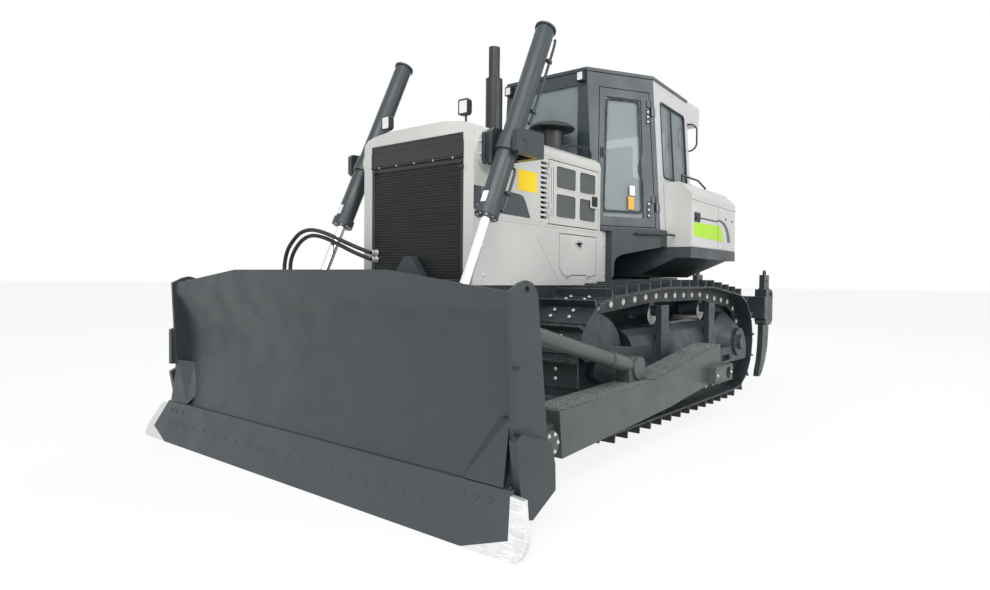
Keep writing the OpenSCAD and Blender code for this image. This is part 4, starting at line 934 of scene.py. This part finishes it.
def chain_pins():
    """Pin centres of the closed chain round idler, sprocket and carrier rollers."""
    turns = [strand(CIRCLES[0], CIRCLES[1])]
    for i in (1, 2, 3):
        v = strand(CIRCLES[i], CIRCLES[(i + 1) % 4])
        while v < turns[-1]:
            v += 2 * math.pi
        turns.append(v)
    turns.append(turns[0] + 2 * math.pi)
    lens = []
    for i in range(4):
        a, b = CIRCLES[i], CIRCLES[(i + 1) % 4]
        lens.append(math.sqrt((b[0] - a[0]) ** 2 + (b[1] - a[1]) ** 2 - (a[2] - b[2]) ** 2))
        lens.append(b[2] * (turns[i + 1] - turns[i]))
    whole = sum(lens)
    out = []
    for k in range(SHOES):
        q = whole * k / SHOES
        i = 0
        while q >= lens[i]:
            q -= lens[i]
            i += 1
        if i % 2 == 0:
            a, n = CIRCLES[i // 2], turns[i // 2]
            out.append(Vector((a[0] + a[2] * math.cos(n) - q * math.sin(n),
                               a[1] + a[2] * math.sin(n) + q * math.cos(n))))
        else:
            c = CIRCLES[(i // 2 + 1) % 4]
            n = turns[i // 2] + q / c[2]
            out.append(Vector((c[0] + c[2] * math.cos(n), c[1] + c[2] * math.sin(n))))
    return out


PINS = chain_pins()
for long, short, flip in SIDES:
    pins = Kit(f"track_pins_{long}", "chassis", STEEL, "track_steel")
    bolts = Kit(f"shoe_bolts_{long}", "chassis", STEEL, "track_steel")
    for k in range(SHOES):
        p, q = PINS[k], PINS[(k + 1) % SHOES]
        t = (q - p).normalized()
        n = Vector((t.y, -t.x))
        for side in (1, -1):
            pins.add(lathe([(21, 0), (24, 1), (24, 4), (20, 7)], 14),
                     flip @ facing((TRACK_X + side * LINK_X, p.x, p.y), (side, 0, 0)))
            pins.add(lathe([(31, 0), (31, 2), (27, 3)], 16),
                     flip @ facing((TRACK_X + side * LINK_X, p.x, p.y), (side, 0, 0)))
        m = (p + q) / 2
        for a in (-30, 45):
            for x in (-91, 91):
                at = m + t * a + n * BOLT_B
                bolts.add(lathe([(15, -2), (15, 3), (13, 4)], 10),
                          flip @ facing((TRACK_X + x, at.x, at.y), (0, n.x, n.y), (1, 0, 0)))
                bolts.add(prism(ngon(11.5, 6), 3, 11, 2),
                          flip @ facing((TRACK_X + x, at.x, at.y), (0, n.x, n.y), (1, 0, 0)))

rolls = Kit("roller_caps", "chassis", STEEL, "bare_steel")
ROLLER_CAP_Z = 260
CARRIER_CAP_Z = 1017
for y in range(-780, 1021, 360):
    for side in (1, -1):
        rolls.add(lathe([(40, 0), (40, 6), (34, 10), (20, 10), (18, 14)], 20),
                  facing((TRACK_X + side * 149, y, ROLLER_CAP_Z), (side, 0, 0)), True)
for y in (800, -360):
    rolls.add(lathe([(88, 0), (88, 5), (80, 9), (52, 9), (50, 3), (34, 3), (34, 12), (20, 14)], 24),
              facing((TRACK_X + 111, y, CARRIER_CAP_Z), LEFT), True)

# ---------------------------------------------------------------- lift cylinders

glands = Kit("gland_bolts", "lift_tubes", STEEL, "bare_steel")
plates = Kit("lift_plates", "lift_tubes", WHITE, "trim")
pipes = Kit("lift_pipes", "lift_tubes", DARK, "dark_paint")
LIFT_AT = line_at(*LIFT)
BARREL_R = 76
BARREL_END = -596                 # gland's face along the barrel
for k in range(8):
    t = 2 * math.pi * k / 8
    at = LIFT_AT @ facing((64 * math.cos(t), 64 * math.sin(t), BARREL_END), (0, 0, -1), (0, 1, 0))
    glands.add(lathe([(8, 0), (8, 7), (5, 9)], 8), at, True)
plates.add(prism(rounded(rect(-24, 24, -44, 44), 5), 0, 6, 1),
           LIFT_AT @ facing((0, -BARREL_R + 4, -470), FRONT), True)
glands.add(lathe([(30, 0), (30, 6), (22, 9)], 16), LIFT_AT @ facing((-150, 0, 0), (-1, 0, 0)), True)
for way in ([(60, 66, -520), (60, 84, -490), (60, 88, -300), (60, 84, -190), (60, 66, -160)],
            [(60, 66, 240), (60, 84, 270), (60, 90, 500), (60, 88, 980), (56, 72, 1040)]):
    pipes.add(tube(smooth_way(way), 11, 10), LIFT_AT, True)
for z in (-380, 340, 820):
    pipes.add(prism(rounded(rect(42, 78, 60, 106), 8), z, z + 26, 3), LIFT_AT, True)
pipes.add(lathe([(87, 0), (87, 16), (80, 22)], 28), LIFT_AT @ top_at(1086), True)

# ---------------------------------------------------------------- lamps

lens = Kit("lamp_lenses", "chassis", LENS, "glass")
frames = Kit("lamp_frames", "chassis", BLACK, "black_paint")
for x, z, y, w, h in ((455, 2668, -2271, 42, 50), (455, 3335, -668, 33, 39)):
    lens.add(prism(rounded(rect(x - w, x + w, z - h, z + h), 10), 0, 3, 2), front_at(y), True)
    frames.add(ring_form(rounded(rect(x - w - 9, x + w + 9, z - h - 10, z + h + 10), 14),
                         rounded(rect(x - w + 2, x + w - 2, z - h + 2, z + h - 2), 10), 0, 6, 2),
               front_at(y), True)
REAR_LAMP_Y = 1378
lens.add(lathe([(40, 0), (38, 4), (20, 9), (6, 10)], 20),
         facing((1180, REAR_LAMP_Y, 2140), BACK), True)

# ---------------------------------------------------------------- cab

for long, short, flip in SIDES:
    wallp = flip @ DOOR_WALL
    seal = Kit(f"door_seal_{long}", f"cab_door_{short}", TRIM, "rubber")
    seal.add(ring_form(rounded([(-647, 157), (-198, 157), (-230, 1296), (-599, 1288)], 40),
                       rounded([(-628, 176), (-217, 176), (-248, 1278), (-581, 1270)], 34),
                       -2, 5, 2), wallp)
    hinge = Kit(f"door_hinge_{long}", f"cab_door_{short}", BLACK, "black_paint")
    hinge_bolt = Kit(f"hinge_bolts_{long}", f"cab_door_{short}", STEEL, "bare_steel")
    for v0, v1 in ((1066, 1214), (114, 282)):
        hinge.add(prism(rounded(rect(-156, -112, v0, v1), 8), 0, 6, 2), wallp)
        for v in (v0 + 24, (v0 + v1) / 2, v1 - 24):
            hinge_bolt.add(lathe([(12, 6), (12, 8), (8, 9), (8, 14), (5, 15)], 8),
                           wallp @ spot(-134, v))
    grips = Kit(f"door_grip_{long}", f"cab_door_{short}", BLACK, "black_paint")
    grips.add(prism(rounded(rect(-668, -606, 690, 790), 12), 0, 10, 3), wallp)
    grips.add(prism(rounded(rect(-652, -624, 704, 776), 8), 10, 24, 5), wallp)
    card = Kit(f"door_card_{long}", f"cab_door_{short}", WHITE, "trim")
    card.add(prism(rect(-352, -292, 330, 428), 9, 9.6), wallp)
    card_two = Kit(f"door_card_two_{long}", f"cab_door_{short}", ORANGE, "trim")
    card_two.add(prism(rect(-368, -304, 190, 318), 9, 9.6), wallp)
sash = Kit("rear_sash", "chassis", BLACK, "black_paint")
for flip in (SAME, MIRROR):
    sash.add(ring_form(rounded(rect(140, 842, 546, 1352), 60),
                       rounded(rect(156, 824, 566, 1332), 48), 0, 8, 3), flip @ REAR_WALL)
    sash.add(prism(rect(424, 444, 560, 1340), -6, 8, 3), flip @ REAR_WALL)
    sash.add(prism(rounded(rect(404, 426, 900, 990), 8), 2, 14, 3), flip @ REAR_WALL)
roof = Kit("roof_strip", "chassis", BLACK, "black_paint")
for y, x in ((-596, 430), (930, 700)):
    roof.box(-x, x, y - 8, y + 8, 3402, 3412)
roof.box(-440, 440, -560, -548, 3420, 3428)
roof_bolts = Kit("roof_bolts", "chassis", STEEL, "bare_steel")
for x in (-600, -200, 200, 600):
    roof_bolts.bolts([(x, 780, 3428), (x * 0.7, -440, 3428)], UP, 11, up=(0, 1, 0))

# ---------------------------------------------------------------- blade, arms and edges

EDGE_N = Vector((0, -0.9148, 0.4038))
EDGE_BOLT = lathe([(19, 0), (19, 2), (14, 3), (13, 1.5), (0.5, 1.5)], 18)
edge_bolts = Kit("edge_bolts", "blade_arms", EDGE, "dark_paint")
for x in (0, 163, 326, 489, 662, 825, 988, 1151, 1315):
    at = facing((x, -3443, 150), EDGE_N)
    edge_bolts.add(EDGE_BOLT, at, x > 0)
for x, y, z in ((1494, -3443, 150), (1592, -3443, 150), (1708, -3443, 150),
                (1581, -3410, 228), (1677, -3410, 228), (1765, -3410, 228)):
    edge_bolts.add(EDGE_BOLT, facing((x, y, z), EDGE_N), True)
arm_grip = Kit("arm_walkway", "blade_arms", GRIT, "dark_paint")
for (ya, za), (yb, zb) in (((-2480, 511.5), (-1235, 544.5)), ((-1190, 549), (150, 732))):
    along = Vector((0, yb - ya, zb - za)).normalized()
    at = plane((1448, ya, za), (1, 0, 0), tuple(along))
    arm_grip.add(prism(rect(-118, 118, 0, math.hypot(yb - ya, zb - za)), 0, 2.4, 0.8), at, True)
arm_bolts = Kit("arm_bolts", "blade_arms", STEEL, "bare_steel")
for k in range(6):
    t = math.pi * k / 3
    arm_bolts.bolts([(1584, -2620 + 62 * math.cos(t), 320 + 62 * math.sin(t))], LEFT, 10,
                    both=True)
arm_bolts.bolts([(1666, -60, 456), (1666, 292, 456)], LEFT, 12, both=True)
stripes = Kit("arm_welds", "blade_arms", ARM, "arm_paint")
for z in (392, 520):
    stripes.add(tube([(1665, -100, z), (1665, 330, z)], 5, 6), None, True)

# ---------------------------------------------------------------- ripper and rear

rip_bolts = Kit("ripper_bolts", "chassis", STEEL, "bare_steel")
for z in (600, 1120):
    rip_bolts.add(lathe([(46, 0), (46, 6), (40, 10), (18, 10), (16, 16)], 22),
                  facing((641, 2150, z), LEFT), True)
for x, heights in ((300, (650, 780)), (540, (650, 780, 900, 1020))):
    rip_bolts.bolts([(x, 1981, z) for z in heights], BACK, 13, both=True)
belly = Kit("belly_bolts", "chassis", STEEL, "bare_steel")
for y in (-2100, -1500, -900, -300, 300, 900):
    belly.bolts([(250, y, 519.5)], (0, 0, -1), 14, both=True, up=(0, 1, 0))
tails = Kit("tail_lamps", "chassis", RED, "trim")
tails.add(prism(rounded(rect(-1140, -1060, 1990, 2060), 8), 0, 8, 3), back_at(REAR_LAMP_Y), True)

# ---------------------------------------------------------------- making

for piece_name, kit in list(Kit.kits.items()):
    piece = kit.make()
    if piece_name == "grille_sheet":
        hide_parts("grille")
